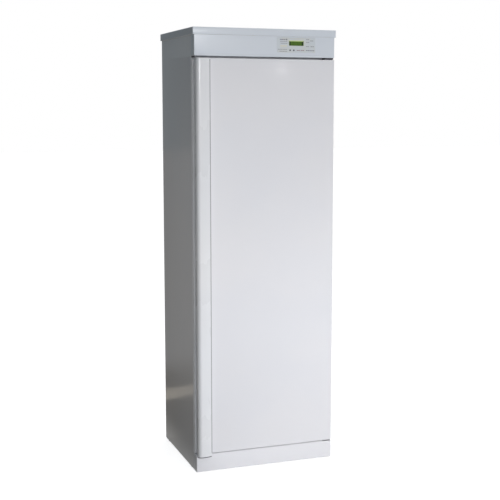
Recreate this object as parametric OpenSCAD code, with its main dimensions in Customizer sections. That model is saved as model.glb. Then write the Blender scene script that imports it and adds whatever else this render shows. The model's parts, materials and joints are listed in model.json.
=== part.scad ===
// Drying cabinet: a free-standing warm-air cabinet for clothes and shoes.
// X runs to the right, the door faces -Y and Z is up; the origin is on the floor under the middle.

/* [Casing] */
// Width over the side panels
body_w = 600; // [520:5:700]
// Depth from the front plane to the back edge
body_d = 500; // [440:5:620]
// Height of the top cover above the floor
total_h = 1810; // [1500:10:2000]
// Thickness of the outer steel sheet
sheet_t = 0.8; // [0.6:0.1:1.6]
// Thickness of the chamber's lining sheet
liner_t = 0.6; // [0.5:0.1:1.2]
// Thickness of the wall from the side plane to the chamber
wall_d = 32; // [28:1:44]
// Depth of the air duct behind the chamber
duct_d = 36; // [28:1:60]
// Depth of the door frame's channels
frame_d = 20; // [14:1:30]
// Gap between the casing and the floor
floor_gap = 4; // [2:0.5:8]
// Radius of the rounded front edges of fascia, door and plinth
edge_r = 3; // [2:0.5:5]
// Outer radius of the fold along each side panel's front edge
fold_r = 5; // [3:0.5:8]
// Width of the flange behind that fold
fold_w = 12; // [9:0.5:16]
// Distance that the back panel sits inside the casing's back edge
back_inset = 3; // [2.6:0.2:8]
// Width of the flanges that hold the back panel
back_flange_w = 14; // [10:1:20]

/* [Top cover] */
// Height of the top cover
lid_h = 29; // [24:1:45]
// Overhang of the top cover at each side
lid_side = 6; // [2:0.5:12]
// Overhang of the top cover at the front
lid_front = 2; // [0.5:0.5:8]
// Radius of the top cover's upright corners
lid_r = 4; // [2.5:0.5:8]
// Width of the flange under the top cover's edge
lid_flange_w = 22; // [16:1:40]

/* [Fascia and plinth] */
// Height of the control fascia
fascia_h = 83; // [76:1:140]
// Height of the plinth panel
plinth_h = 70; // [60:1:120]
// Gap between the fascia and the door
door_gap_top = 8; // [6:0.5:12]
// Gap between the door and the plinth
door_gap_bottom = 5; // [5:0.5:9]

/* [Door] */
// Thickness of the door
door_d = 36; // [30:1:50]
// Space between the door and its frame
seal_gap = 4; // [3:0.5:6]
// Height of the frame's sill inside the door's lower edge
sill_lap = 26; // [24:1:50]
// Height of the frame's head inside the door's upper edge
head_lap = 45; // [36:1:70]
// Width of the door seal
seal_w = 12; // [8:1:13]
// Distance of the seal from the chamber's opening
seal_off = 4; // [2:0.5:5]
// Depth of the pressed field on the door's inner face
plug_d = 8; // [4:1:14]
// Distance of the pressed field from the chamber's opening
plug_gap = 14; // [12:1:30]
// Distance of the hinge axis from the door's right edge
hinge_in = 10; // [9.5:0.5:14]
// Radius of the hinge pins
pin_r = 4; // [3:0.5:5]
// Length of the hinge pins
pin_l = 20; // [14:1:30]
// Radial running clearance of pins, shafts and stems
run_gap = 0.05; // [0.03:0.01:0.1]
// Thickness of the hinge plates
plate_t = 3; // [2:0.5:3.5]
// Thickness of the bushes' wall
bush_wall = 3; // [2:0.5:4]

/* [Handle] */
// Width of the handle profile
handle_w = 60; // [50:1:80]
// Height of the handle's crown in front of the door
handle_proud = 18; // [14:1:30]
// Height of the handle's right edge in front of the door
handle_edge = 12; // [8:1:13]
// Radius of the handle's outer corner
handle_r = 16; // [10:1:18]
// Wall of the handle profile
handle_t = 2.5; // [1.5:0.1:4]
// Length of the handle below the door's lower edge
handle_drop = 12; // [6:1:20]
// Thickness of the handle's end caps
cap_t = 4; // [3:0.5:6]
// Depth of the finger channel, from the side
finger_d = 24; // [18:1:28]
// Width of the finger channel
finger_w = 22; // [18:1:24]

/* [Control panel] */
// Width of the panel overlay
panel_w = 166; // [150:1:200]
// Height of the panel overlay
panel_h = 60; // [50:1:62]
// Distance of the overlay's centre from the middle of the fascia
panel_x = 131; // [0:1:150]
// Distance of the overlay's centre above the middle of the fascia
panel_up = 7.5; // [0:0.5:8]
// Thickness of the panel overlay
overlay_t = 0.8; // [0.4:0.1:1.2]
// Width of the display window
lcd_w = 64; // [50:1:76]
// Height of the display window
lcd_h = 19; // [14:1:24]
// Height of the window's centre above the overlay's centre
lcd_up = 7.5; // [6:0.5:9]
// Radius of the key caps
key_r = 3.3; // [2.5:0.1:4.5]
// Distance between the keys
key_pitch = 16; // [12:0.5:24]
// Distance of the keys' middle left of the overlay's centre
key_x = 19; // [10:1:40]
// Distance of the keys below the overlay's centre
key_down = 21; // [19:0.5:23]
// Travel of the keys
key_travel = 0.8; // [0.4:0.1:1.5]

/* [Racks] */
// Radius of the racks' rods
rod_r = 4; // [3:0.5:5]
// Reach of the racks from their pivots
rack_l = 330; // [260:5:340]
// Number of hanging rods of a hanger rack
rod_count = 4; // [3:1:5]
// Number of rods of the shoe rack
shoe_rod_count = 8; // [6:1:9]
// Distance of the upper hanger rack below the chamber's ceiling
upper_rack_drop = 55; // [40:5:180]
// Height of the middle hanger rack
middle_rack_z = 1130; // [1000:10:1180]
// Height of the lower hanger rack
lower_rack_z = 690; // [600:10:740]
// Height of the shoe rack
shoe_rack_z = 220; // [180:5:260]
// Distance of the racks' pivots from the back lining
pivot_in = 20; // [14:1:30]
// Distance of the racks' side rods from the chamber walls
arm_in = 22; // [18:1:40]

/* [Air system] */
// Radius of the fan wheel
wheel_r = 80; // [70:1:88]
// Height of the fan wheel
wheel_h = 40; // [30:1:42]
// Number of blades on the fan wheel
blade_count = 24; // [12:1:30]
// Radius of the fan's air inlet
inlet_r = 60; // [45:1:62]
// Radius of the motor
motor_r = 45; // [35:1:55]
// Height of the motor
motor_h = 52; // [40:1:56]
// Radius of the motor shaft
shaft_r = 4; // [3:0.5:6]
// Radius of the heating rods
heat_r = 4; // [3:0.5:5]
// Outer radius of the exhaust collar
collar_r = 50; // [40:1:62]
// Height of the exhaust collar above the top cover
collar_h = 18; // [12:1:22]
// Radius of the cable gland's bore
gland_r = 4.5; // [3:0.5:6]

/* [Base] */
// Height of the base rails
rail_h = 46; // [34:1:48]
// Width of the base rails
rail_w = 40; // [30:1:60]
// Wall of the base rails
rail_t = 2; // [1.5:0.5:3]
// Radius of the feet
foot_r = 20; // [15:1:30]
// Height of the feet's discs
foot_h = 8; // [5:1:10]
// Radius of the feet's screws
stem_r = 5; // [4:1:6]

/* [Hidden] */
$fn = 48;
// Least gap between pieces that move past each other, and overshoot of a cut
gap = 0.3;
eps = 0.5;

// Casing: the handle's crown and the back edge lie equally far from the origin
half_w = body_w / 2;
front_y = (handle_proud - body_d) / 2;
back_y = front_y + body_d;
case_y = front_y + door_d + seal_gap;
frame_y = case_y + frame_d;
side_x = half_w - sheet_t;
open_x = half_w - wall_d;
frame_x = half_w - fold_w;
panel_y = back_y - back_inset - sheet_t;
flange_y = panel_y - sheet_t;
liner_y = panel_y - duct_d;
lid_z = total_h - lid_h;
fascia_z = lid_z - fascia_h;
door_z1 = fascia_z - door_gap_top;
plinth_z = floor_gap + plinth_h;
door_z0 = plinth_z + door_gap_bottom;
chamber_z0 = door_z0 + sill_lap;
chamber_z1 = door_z1 - head_lap;
ceiling_z = chamber_z1 + liner_t;
base_t = 1.5;
base_z = plinth_z - 14;
rail_z1 = base_z - base_t;
rail_z0 = rail_z1 - rail_h;

// Door
door_x0 = -half_w + handle_w;
core_x0 = -half_w + finger_d;
rebate = 2;
channel_y0 = front_y + 5;
channel_y1 = channel_y0 + finger_w;
core_y0 = front_y + rebate + sheet_t;
liner_door_y = front_y + door_d;
hinge_x = half_w - hinge_in;
hinge_y = front_y + door_d / 2;
bush_r = pin_r + run_gap + bush_wall;
plate_gap = 1;
top_plate_z = door_z1 + 2;
low_plate_z = door_z0 - plate_gap - plate_t;
seal_d = seal_gap - gap;
sensor_x = 68 - open_x;
magnet_x = [sensor_x - 15, sensor_x + 15];
magnet_y = [liner_door_y - liner_t - 9, liner_door_y - liner_t];
magnet_z = [chamber_z1 + 14, chamber_z1 + 26];
face_drop = handle_proud - handle_edge;
face_run = handle_w - handle_r;
face_r = (face_run * face_run + face_drop * face_drop) / (2 * face_drop);
handle_z0 = door_z0 - handle_drop + cap_t;
front_clear = 0.6;
cap_plug = 8;

// Control panel
panel_z = (fascia_z + lid_z) / 2 + panel_up;
lcd_z = panel_z + lcd_up;
key_z = panel_z - key_down;
key_proud = 1.2;
key_l = 6;
board_y = front_y + key_l + key_travel + gap + 3.5;
board_w = panel_w - 10;
board_h = panel_h - 6;
post_r = 3;
lcd_frame = 8;
function key_at(side) = panel_x - key_x + side * key_pitch / 2;

// Racks
upper_rack_z = chamber_z1 - upper_rack_drop;
pivot_y = liner_y - liner_t - pivot_in;
arm_x = open_x - arm_in;
arm_r = rod_r - 0.5;
cross_r = rod_r - 1.2;
pivot_l = 3;
bracket_w = 10;
bracket_r = 3 * rod_r;
peg_y = pivot_y - rack_l * 0.75;

// Air system: the housing stands on the ceiling and blows into the duct behind the chamber
fan_x = -70;
fan_y = (frame_y + liner_y) / 2;
house_r = wheel_r + 20;
house_z1 = ceiling_z + wheel_h + 22;
wheel_z0 = ceiling_z + 16;
duct_x1 = fan_x + house_r;
heat_y = [120, 150, 180];
heat_z = [ceiling_z + 16, ceiling_z + 42];
exhaust_x = open_x - 78;
exhaust_y = panel_y - collar_r - 66;
exhaust_in = collar_r - 1.2;
gland_x = 68 - open_x;
gland_y = panel_y - 70;
gland_hex = 14;
gland_nut = 5;
thermo_x = fan_x + house_r / 2;
sensor_at = [70, frame_y + 60];

// Base
foot_x = side_x - rail_w / 2;
foot_y0 = case_y + fold_r + 40;
foot_y1 = flange_y - 45;
foot_top = rail_z0 + 28;
boss_h = 12;

// Casing screws, in two columns up the back
screw_r = 1.9;
screw_tip = 4;
screw_x = side_x - back_flange_w / 2;
screw_count = 7;
screw_z0 = base_z + 30;
screw_step = (lid_z - 30 - screw_z0) / (screw_count - 1);
wall_hole_r = 4.5;
wall_hole_x = 200;
wall_hole_z = lid_z - 60;

// Colours
enamel = [0.80, 0.82, 0.84];
zinc = [0.70, 0.72, 0.74];
dark = [0.20, 0.21, 0.22];

// ---------- shared shapes ----------

module block(x, y, z) {
    translate([x[0], y[0], z[0]])
        cube([x[1] - x[0], y[1] - y[0], z[1] - z[0]]);
}

module rod_x(x, y, z, r) {
    translate([x[0], y, z]) rotate([0, 90, 0]) cylinder(h = x[1] - x[0], r = r);
}

module rod_y(x, y, z, r) {
    translate([x, y[1], z]) rotate([90, 0, 0]) cylinder(h = y[1] - y[0], r = r);
}

module rod_z(x, y, z, r) {
    translate([x, y, z[0]]) cylinder(h = z[1] - z[0], r = r);
}

module both_sides() {
    children();
    mirror([1, 0, 0]) children();
}

// Plan of a slab whose two front corners are round
module round_front(x, y, r) {
    translate([x[0], y[0] + r]) square([x[1] - x[0], y[1] - y[0] - r]);
    translate([x[0] + r, y[0]]) square([x[1] - x[0] - 2 * r, r + 0.01]);
    translate([x[0] + r, y[0] + r]) circle(r);
    translate([x[1] - r, y[0] + r]) circle(r);
}

module extrude_z(z) {
    translate([0, 0, z[0]]) linear_extrude(z[1] - z[0]) children();
}

// Sheet bent round both front corners, from one height to another
module wrapped_sheet(z) {
    extrude_z(z) difference() {
        round_front([-half_w, half_w], [front_y, case_y], edge_r);
        round_front([-side_x, side_x], [front_y + sheet_t, case_y + eps], edge_r - sheet_t);
    }
}

// Channel whose web faces the front and whose open side faces the back
module channel(x, z, flanges_upright) {
    inner_x = flanges_upright ? [x[0] + sheet_t, x[1] - sheet_t] : [x[0] - eps, x[1] + eps];
    inner_z = flanges_upright ? [z[0] - eps, z[1] + eps] : [z[0] + sheet_t, z[1] - sheet_t];
    difference() {
        block(x, [case_y, frame_y], z);
        block(inner_x, [case_y + sheet_t, frame_y + eps], inner_z);
    }
}

// ---------- casing ----------

module top_cover() {
    y0 = front_y - lid_front;
    x1 = half_w + lid_side;
    color(enamel) difference() {
        extrude_z([lid_z, total_h])
            round_front([-x1, x1], [y0, back_y], lid_r);
        extrude_z([lid_z + sheet_t, total_h - sheet_t])
            round_front([-x1 + sheet_t, x1 - sheet_t], [y0 + sheet_t, back_y - sheet_t], lid_r - sheet_t);
        block([-x1 + lid_flange_w, x1 - lid_flange_w], [y0 + lid_flange_w, back_y - lid_flange_w],
              [lid_z - eps, lid_z + sheet_t + eps]);
        rod_z(exhaust_x, exhaust_y, [total_h - sheet_t - eps, total_h + eps], exhaust_in);
        rod_z(gland_x, gland_y, [total_h - sheet_t - eps, total_h + eps], gland_r + 5);
    }
}

module top_insulation() {
    inset = sheet_t + 2;
    x1 = half_w + lid_side - inset;
    color("khaki") difference() {
        block([-x1, x1], [front_y - lid_front + inset, back_y - inset],
              [lid_z + sheet_t, total_h - sheet_t]);
        rod_z(exhaust_x, exhaust_y, [lid_z, total_h], collar_r);
        rod_z(gland_x, gland_y, [lid_z, total_h], gland_hex + 4);
    }
}

module fascia_panel() {
    color(enamel) difference() {
        union() {
            wrapped_sheet([fascia_z, lid_z]);
            extrude_z([fascia_z, fascia_z + sheet_t])
                round_front([-half_w, half_w], [front_y, case_y], edge_r);
            block([-frame_x, frame_x], [case_y, frame_y], [fascia_z, fascia_z + sheet_t]);
            for (dx = [-1, 1], dz = [-1, 1])
                rod_y(panel_x + dx * (board_w / 2 - 5), [front_y + sheet_t, board_y],
                      panel_z + dz * (board_h / 2 - 5), post_r);
        }
        block([panel_x - lcd_w / 2, panel_x + lcd_w / 2], [front_y - eps, front_y + sheet_t + eps],
              [lcd_z - lcd_h / 2, lcd_z + lcd_h / 2]);
        for (side = [-1, 1])
            rod_y(key_at(side), [front_y - eps, front_y + sheet_t + eps], key_z, key_r + run_gap);
    }
}

module plinth_panel() {
    color(enamel) {
        wrapped_sheet([floor_gap, plinth_z]);
        extrude_z([plinth_z - sheet_t, plinth_z])
            round_front([-half_w, half_w], [front_y, case_y], edge_r);
    }
}

// Left panel; the right one is its mirror image
module side_panel() {
    corner = [-half_w + fold_r, case_y + fold_r];
    extrude_z([floor_gap, fascia_z]) {
        translate([-half_w, corner[1]]) square([sheet_t, back_y - corner[1]]);
        translate([corner[0], case_y]) square([fold_w - fold_r, sheet_t]);
        intersection() {
            difference() {
                translate(corner) circle(fold_r);
                translate(corner) circle(fold_r - sheet_t);
            }
            translate([-half_w, case_y]) square([fold_r, fold_r]);
        }
    }
    block([-half_w, -side_x], [case_y, back_y], [fascia_z, lid_z]);
    difference() {
        block([-side_x, -side_x + back_flange_w], [flange_y, panel_y], [floor_gap, lid_z]);
        back_screw_holes();
    }
}

module side_panel_left() {
    color(enamel) side_panel();
}

module side_panel_right() {
    color(enamel) mirror([1, 0, 0]) side_panel();
}

module back_screw_holes() {
    for (side = [-1, 1], k = [0 : screw_count - 1])
        rod_y(side * screw_x, [flange_y - eps, panel_y + sheet_t + eps], screw_z0 + k * screw_step, screw_r);
}

module back_panel() {
    color(zinc) difference() {
        block([-side_x, side_x], [panel_y, panel_y + sheet_t], [floor_gap, lid_z]);
        back_screw_holes();
        for (side = [-1, 1])
            rod_y(side * wall_hole_x, [panel_y - eps, panel_y + sheet_t + eps], wall_hole_z, wall_hole_r);
        for (side = [-1, 1], k = [0 : 4])
            block([side * 110 - 40, side * 110 + 40], [panel_y - eps, panel_y + sheet_t + eps],
                  [wall_hole_z - 40 + 12 * k, wall_hole_z - 36 + 12 * k]);
    }
}

module base_plate() {
    color(zinc)
        block([-side_x, side_x], [case_y + fold_r, flange_y], [rail_z1, base_z]);
}

module base_rail() {
    x = [side_x - rail_w, side_x];
    y = [case_y + fold_r, flange_y];
    difference() {
        union() {
            difference() {
                block(x, y, [rail_z0, rail_z1]);
                block([x[0] + rail_t, x[1] - rail_t], [y[0] - eps, y[1] + eps],
                      [rail_z0 + rail_t, rail_z1 - rail_t]);
            }
            for (foot_y = [foot_y0, foot_y1])
                rod_z(foot_x, foot_y, [rail_z0 + rail_t, rail_z0 + rail_t + boss_h], 2 * stem_r);
        }
        for (foot_y = [foot_y0, foot_y1])
            rod_z(foot_x, foot_y, [rail_z0 - eps, rail_z0 + rail_t + boss_h + eps], stem_r + run_gap);
    }
}

module base_rails() {
    color(zinc) both_sides() base_rail();
}

module frame_head() {
    color(enamel) difference() {
        channel([-frame_x, frame_x], [chamber_z1, fascia_z], false);
        hinge_plate_tail(top_plate_z);
    }
}

module frame_sill() {
    color(enamel) difference() {
        channel([-frame_x, frame_x], [base_z, chamber_z0], false);
        hinge_plate_tail(low_plate_z);
    }
}

module frame_stiles() {
    color(enamel) both_sides()
        channel([open_x, frame_x], [chamber_z0, chamber_z1], true);
}

module case_screws() {
    color(zinc) for (side = [-1, 1], k = [0 : screw_count - 1]) {
        z = screw_z0 + k * screw_step;
        rod_y(side * screw_x, [flange_y - screw_tip, panel_y + sheet_t], z, screw_r);
        rod_y(side * screw_x, [panel_y + sheet_t, panel_y + sheet_t + 2.2], z, 2 * screw_r);
    }
}

// ---------- chamber ----------

module liner_side() {
    block([-open_x - liner_t, -open_x], [frame_y, liner_y], [base_z, chamber_z1]);
}

module liner_left() {
    color(zinc) liner_side();
}

module liner_right() {
    color(zinc) mirror([1, 0, 0]) liner_side();
}

module liner_back() {
    slot_w = open_x / 2;
    slot_h = 5;
    slot_step = 120;
    slot_count = floor((chamber_z1 - chamber_z0 - 160) / slot_step);
    color(zinc) difference() {
        block([-open_x, open_x], [liner_y - liner_t, liner_y], [base_z, chamber_z1]);
        for (side = [-1, 1], k = [0 : slot_count])
            block([side * slot_w - slot_w / 2, side * slot_w + slot_w / 2], [liner_y - liner_t - eps, liner_y + eps],
                  [chamber_z0 + 60 + k * slot_step, chamber_z0 + 60 + slot_h + k * slot_step]);
    }
}

module liner_floor() {
    color(zinc)
        block([-open_x, open_x], [frame_y, liner_y - liner_t], [chamber_z0 - liner_t, chamber_z0]);
}

module liner_ceiling() {
    color(zinc) difference() {
        block([-side_x, side_x], [frame_y, flange_y], [chamber_z1, ceiling_z]);
        rod_z(fan_x, fan_y, [chamber_z1 - eps, ceiling_z + eps], inlet_r);
        rod_z(exhaust_x, exhaust_y, [chamber_z1 - eps, ceiling_z + eps], exhaust_in);
        rod_z(sensor_at[0], sensor_at[1], [chamber_z1 - eps, ceiling_z + eps], 6);
        block([fan_x + 2, duct_x1 - 2], [liner_y + eps, flange_y - 2], [chamber_z1 - eps, ceiling_z + eps]);
    }
}

module side_insulation() {
    color("khaki") both_sides()
        block([open_x + liner_t, side_x], [frame_y, flange_y - screw_tip - 1], [base_z, chamber_z1]);
}

// Round grille under the ceiling, with straight slots inside its rim
module grille(x, y, r) {
    slot_step = 11;
    half_count = floor((r - 6) / slot_step);
    difference() {
        rod_z(x, y, [chamber_z1 - 3, chamber_z1], r + 10);
        for (k = [-half_count : half_count]) {
            reach = sqrt(pow(r - 3, 2) - pow(k * slot_step, 2));
            block([x - reach, x + reach], [y + k * slot_step - 3.5, y + k * slot_step + 3.5],
                  [chamber_z1 - 3 - eps, chamber_z1 + eps]);
        }
    }
}

module ceiling_grilles() {
    color(zinc) {
        grille(fan_x, fan_y, inlet_r);
        grille(exhaust_x, exhaust_y, exhaust_in);
    }
}

module drip_tray() {
    tray_t = 1;
    tray_h = 22;
    x = [-open_x + 14, open_x - 14];
    y = [frame_y + 12, pivot_y - 12];
    color(zinc) difference() {
        block(x, y, [chamber_z0, chamber_z0 + tray_h]);
        block([x[0] + tray_t, x[1] - tray_t], [y[0] + tray_t, y[1] - tray_t],
              [chamber_z0 + tray_t, chamber_z0 + tray_h + eps]);
    }
}

// ---------- racks ----------

// Pivot rod, two side rods and thinner cross rods at an even pitch
module rack(z, count) {
    pivot_x = open_x - bracket_w + pivot_l;
    rod_x([-pivot_x, pivot_x], pivot_y, z, rod_r);
    both_sides() rod_y(arm_x, [pivot_y - rack_l - arm_r, pivot_y], z, arm_r);
    for (k = [1 : count])
        rod_x([-arm_x, arm_x], pivot_y - k * rack_l / count, z, cross_r);
}

// At each side, a bracket with the pivot's bore and a peg that the side rod rests on
module rack_support(z) {
    both_sides() {
        difference() {
            block([open_x - bracket_w, open_x], [pivot_y - bracket_r, pivot_y + bracket_r],
                  [z - bracket_r, z + bracket_r]);
            rod_x([open_x - bracket_w - eps, open_x - bracket_w + pivot_l + eps], pivot_y, z, rod_r + run_gap);
        }
        rod_x([arm_x - rod_r, open_x], peg_y, z - arm_r - rod_r - gap, rod_r);
    }
}

module rack_supports() {
    color(zinc) for (z = [upper_rack_z, middle_rack_z, lower_rack_z, shoe_rack_z])
        rack_support(z);
}

module hanger_rack_upper() {
    color("white") rack(upper_rack_z, rod_count);
}

module hanger_rack_middle() {
    color("white") rack(middle_rack_z, rod_count);
}

module hanger_rack_lower() {
    color("white") rack(lower_rack_z, rod_count);
}

module shoe_rack() {
    color("white") rack(shoe_rack_z, shoe_rod_count);
}

// ---------- air system ----------

module housing_plan(inset) {
    translate([fan_x, fan_y]) circle(house_r - inset);
    translate([fan_x + inset, fan_y])
        square([house_r - 2 * inset, flange_y - fan_y - inset]);
}

module fan_housing() {
    wall = 1.2;
    color(zinc) difference() {
        extrude_z([ceiling_z, house_z1]) housing_plan(0);
        extrude_z([ceiling_z + wall, house_z1 - wall]) housing_plan(wall);
        rod_z(fan_x, fan_y, [ceiling_z - eps, ceiling_z + wall + eps], inlet_r);
        rod_z(fan_x, fan_y, [house_z1 - wall - eps, house_z1 + eps], shaft_r + 2);
        block([fan_x + 2, duct_x1 - 2], [liner_y + eps, flange_y - 2], [ceiling_z - eps, ceiling_z + wall + eps]);
        heating_legs([duct_x1 - wall - eps, duct_x1 + eps]);
    }
}

module fan_motor() {
    color(dark) difference() {
        rod_z(fan_x, fan_y, [house_z1, house_z1 + motor_h], motor_r);
        rod_z(fan_x, fan_y, [house_z1 - eps, house_z1 + motor_h / 2], shaft_r + run_gap);
    }
}

module motor_shaft() {
    color("silver")
        rod_z(fan_x, fan_y, [wheel_z0 + wheel_h - 14, house_z1 + motor_h / 2 - 1], shaft_r);
}

module fan_wheel() {
    z1 = wheel_z0 + wheel_h;
    ring_r = wheel_r * 0.78;
    disc_t = 2;
    blade_l = wheel_r * 0.2;
    blade_in = 1.5;
    color(dark) difference() {
        union() {
            rod_z(fan_x, fan_y, [z1 - disc_t, z1], wheel_r);
            rod_z(fan_x, fan_y, [z1 - 14, z1 - disc_t + 0.01], shaft_r + 9);
            difference() {
                rod_z(fan_x, fan_y, [wheel_z0, wheel_z0 + disc_t], wheel_r);
                rod_z(fan_x, fan_y, [wheel_z0 - eps, wheel_z0 + disc_t + eps], ring_r);
            }
            for (k = [0 : blade_count - 1])
                translate([fan_x, fan_y, wheel_z0 + disc_t / 2])
                    rotate([0, 0, k * 360 / blade_count])
                        translate([ring_r + blade_in, 0, 0]) rotate([0, 0, 40])
                            cube([blade_l, 1.2, wheel_h - disc_t]);
        }
        rod_z(fan_x, fan_y, [z1 - 14 - eps, z1 + eps], shaft_r);
    }
}

// The straight legs of the hairpin rods, over a stretch along X
module heating_legs(x) {
    for (y = heat_y, z = heat_z) rod_x(x, y, z, heat_r);
}

module heating_element() {
    bend_r = (heat_z[1] - heat_z[0]) / 2;
    bend_x = fan_x + 24;
    color("dimgray") {
        heating_legs([bend_x, duct_x1 + 14]);
        for (y = heat_y)
            translate([bend_x, y, heat_z[0] + bend_r]) rotate([90, 0, 0])
                intersection() {
                    rotate_extrude() translate([bend_r, 0]) circle(heat_r);
                    translate([-2 * bend_r, -2 * bend_r, -2 * heat_r])
                        cube([2 * bend_r, 4 * bend_r, 4 * heat_r]);
                }
    }
}

module heater_plate() {
    color(zinc) difference() {
        block([duct_x1, duct_x1 + 2], [heat_y[0] - 18, heat_y[2] + 18], [ceiling_z, house_z1]);
        heating_legs([duct_x1 - eps, duct_x1 + 2 + eps]);
    }
}

module safety_thermostat() {
    color(dark) {
        rod_z(thermo_x, heat_y[1], [house_z1, house_z1 + 9], 12);
        block([thermo_x - 20, thermo_x + 20], [heat_y[1] - 4, heat_y[1] + 4], [house_z1, house_z1 + 1]);
    }
}

module humidity_sensor() {
    color(dark) {
        rod_z(sensor_at[0], sensor_at[1], [chamber_z1 - 22, ceiling_z + 18], 6);
        rod_z(sensor_at[0], sensor_at[1], [ceiling_z, ceiling_z + 2], 11);
    }
}

module exhaust_duct() {
    color("silver") difference() {
        rod_z(exhaust_x, exhaust_y, [ceiling_z, total_h - sheet_t], collar_r);
        rod_z(exhaust_x, exhaust_y, [ceiling_z - eps, total_h - sheet_t + eps], exhaust_in);
    }
}

module exhaust_collar() {
    flange_t = 1.2;
    color(zinc) difference() {
        union() {
            rod_z(exhaust_x, exhaust_y, [total_h, total_h + flange_t], collar_r + 14);
            rod_z(exhaust_x, exhaust_y, [total_h, total_h + collar_h], collar_r);
        }
        rod_z(exhaust_x, exhaust_y, [total_h - eps, total_h + collar_h + eps], exhaust_in);
    }
}

module terminal_box() {
    color(dark)
        block([gland_x - 40, gland_x + 30], [gland_y - 50, gland_y + 40], [ceiling_z, ceiling_z + 58]);
}

module cable_gland() {
    stem = gland_r + 5;
    color(dark) difference() {
        union() {
            rod_z(gland_x, gland_y, [total_h - sheet_t - gland_nut, total_h], stem);
            translate([gland_x, gland_y, total_h]) cylinder(h = gland_nut, r = gland_hex, $fn = 6);
            translate([gland_x, gland_y, total_h - sheet_t - gland_nut])
                cylinder(h = gland_nut, r = gland_hex, $fn = 6);
            rod_z(gland_x, gland_y, [total_h + gland_nut, total_h + 3 * gland_nut], stem + 1);
        }
        rod_z(gland_x, gland_y, [total_h - sheet_t - gland_nut - eps, total_h + 3 * gland_nut + eps], gland_r);
    }
}

// ---------- controls ----------

module panel_overlay() {
    color([0.74, 0.76, 0.77]) difference() {
        block([panel_x - panel_w / 2, panel_x + panel_w / 2], [front_y - overlay_t, front_y],
              [panel_z - panel_h / 2, panel_z + panel_h / 2]);
        block([panel_x - lcd_w / 2, panel_x + lcd_w / 2], [front_y - overlay_t - eps, front_y + eps],
              [lcd_z - lcd_h / 2, lcd_z + lcd_h / 2]);
        for (side = [-1, 1])
            rod_y(key_at(side), [front_y - overlay_t - eps, front_y + eps], key_z, key_r + run_gap);
    }
}

module lcd_window() {
    color([0.35, 0.50, 0.15])
        block([panel_x - lcd_w / 2, panel_x + lcd_w / 2], [front_y - overlay_t, front_y + sheet_t],
              [lcd_z - lcd_h / 2, lcd_z + lcd_h / 2]);
}

module lcd_module() {
    color(dark)
        block([panel_x - lcd_w / 2 - lcd_frame, panel_x + lcd_w / 2 + lcd_frame],
              [front_y + sheet_t, board_y],
              [lcd_z - lcd_h / 2 - lcd_frame, lcd_z + lcd_h / 2 + lcd_frame]);
}

module control_board() {
    color("darkgreen") {
        block([panel_x - board_w / 2, panel_x + board_w / 2], [board_y, board_y + 1.6],
              [panel_z - board_h / 2, panel_z + board_h / 2]);
        for (side = [-1, 1])
            block([key_at(side) - 3, key_at(side) + 3], [board_y - 3.5, board_y], [key_z - 3, key_z + 3]);
    }
}

// A cap that sits proud of the overlay, with a flange behind the fascia that keeps it in
module key(side) {
    color([0.25, 0.26, 0.28]) {
        rod_y(key_at(side), [front_y - overlay_t - key_proud, front_y + key_l], key_z, key_r);
        rod_y(key_at(side), [front_y + sheet_t + gap, front_y + sheet_t + gap + 1], key_z, key_r + 1.3);
    }
}

module key_left() {
    key(-1);
}

module key_right() {
    key(1);
}

module door_sensor() {
    color(dark)
        block([sensor_x - 20, sensor_x + 20], [case_y + sheet_t, case_y + sheet_t + 10], [chamber_z1 + 14, chamber_z1 + 26]);
}

// ---------- door ----------

// Plan of the door behind its front sheet: the full depth, and a rebate under the handle
module door_plan(inset, back) {
    intersection() {
        round_front([door_x0 - 2 * edge_r + inset, half_w - inset], [front_y + inset, back], edge_r - inset);
        translate([door_x0 + inset, front_y]) square([body_w, door_d + eps]);
    }
    translate([core_x0 - (inset > 0 ? eps : 0), front_y + rebate + inset])
        square([handle_w - finger_d + 2 * inset, back - front_y - rebate - inset]);
}

module door_skin() {
    color(enamel) difference() {
        extrude_z([door_z0, door_z1]) door_plan(0, liner_door_y);
        extrude_z([door_z0 + sheet_t, door_z1 - sheet_t]) door_plan(sheet_t, liner_door_y + eps);
        for (z = [door_z0, door_z1 - sheet_t])
            rod_z(hinge_x, hinge_y, [z - eps, z + sheet_t + eps], bush_r);
    }
}

module plug_field(inset, y) {
    x1 = open_x - plug_gap - inset;
    block([-x1, x1], y, [chamber_z0 + plug_gap + inset, chamber_z1 - plug_gap - inset]);
}

module door_liner() {
    color(zinc) difference() {
        union() {
            block([core_x0, side_x], [liner_door_y - liner_t, liner_door_y], [door_z0 + sheet_t, door_z1 - sheet_t]);
            plug_field(0, [liner_door_y, liner_door_y + plug_d]);
        }
        plug_field(liner_t, [liner_door_y - liner_t - eps, liner_door_y + plug_d - liner_t]);
    }
}

module door_core() {
    z = [door_z0 + sheet_t, door_z1 - sheet_t];
    color("khaki") difference() {
        union() {
            block([core_x0, door_x0 + sheet_t], [core_y0, liner_door_y - liner_t], z);
            block([door_x0 + sheet_t, half_w - edge_r], [front_y + sheet_t, liner_door_y - liner_t], z);
            plug_field(liner_t, [liner_door_y - liner_t, liner_door_y + plug_d - liner_t]);
        }
        for (end_z = [[z[0] - eps, door_z0 + pin_l], [door_z1 - pin_l, z[1] + eps]])
            rod_z(hinge_x, hinge_y, end_z, bush_r);
        block(magnet_x, magnet_y, magnet_z);
    }
}

module sensor_magnet() {
    color("silver") block(magnet_x, magnet_y, magnet_z);
}

module door_seal() {
    inner = seal_off;
    outer = seal_off + seal_w;
    y = [liner_door_y, liner_door_y + seal_d];
    color([0.85, 0.85, 0.86]) difference() {
        block([-open_x - outer, open_x + outer], y, [chamber_z0 - outer, chamber_z1 + outer]);
        block([-open_x - inner, open_x + inner], [y[0] - eps, y[1] + eps], [chamber_z0 - inner, chamber_z1 + inner]);
    }
}

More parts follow.
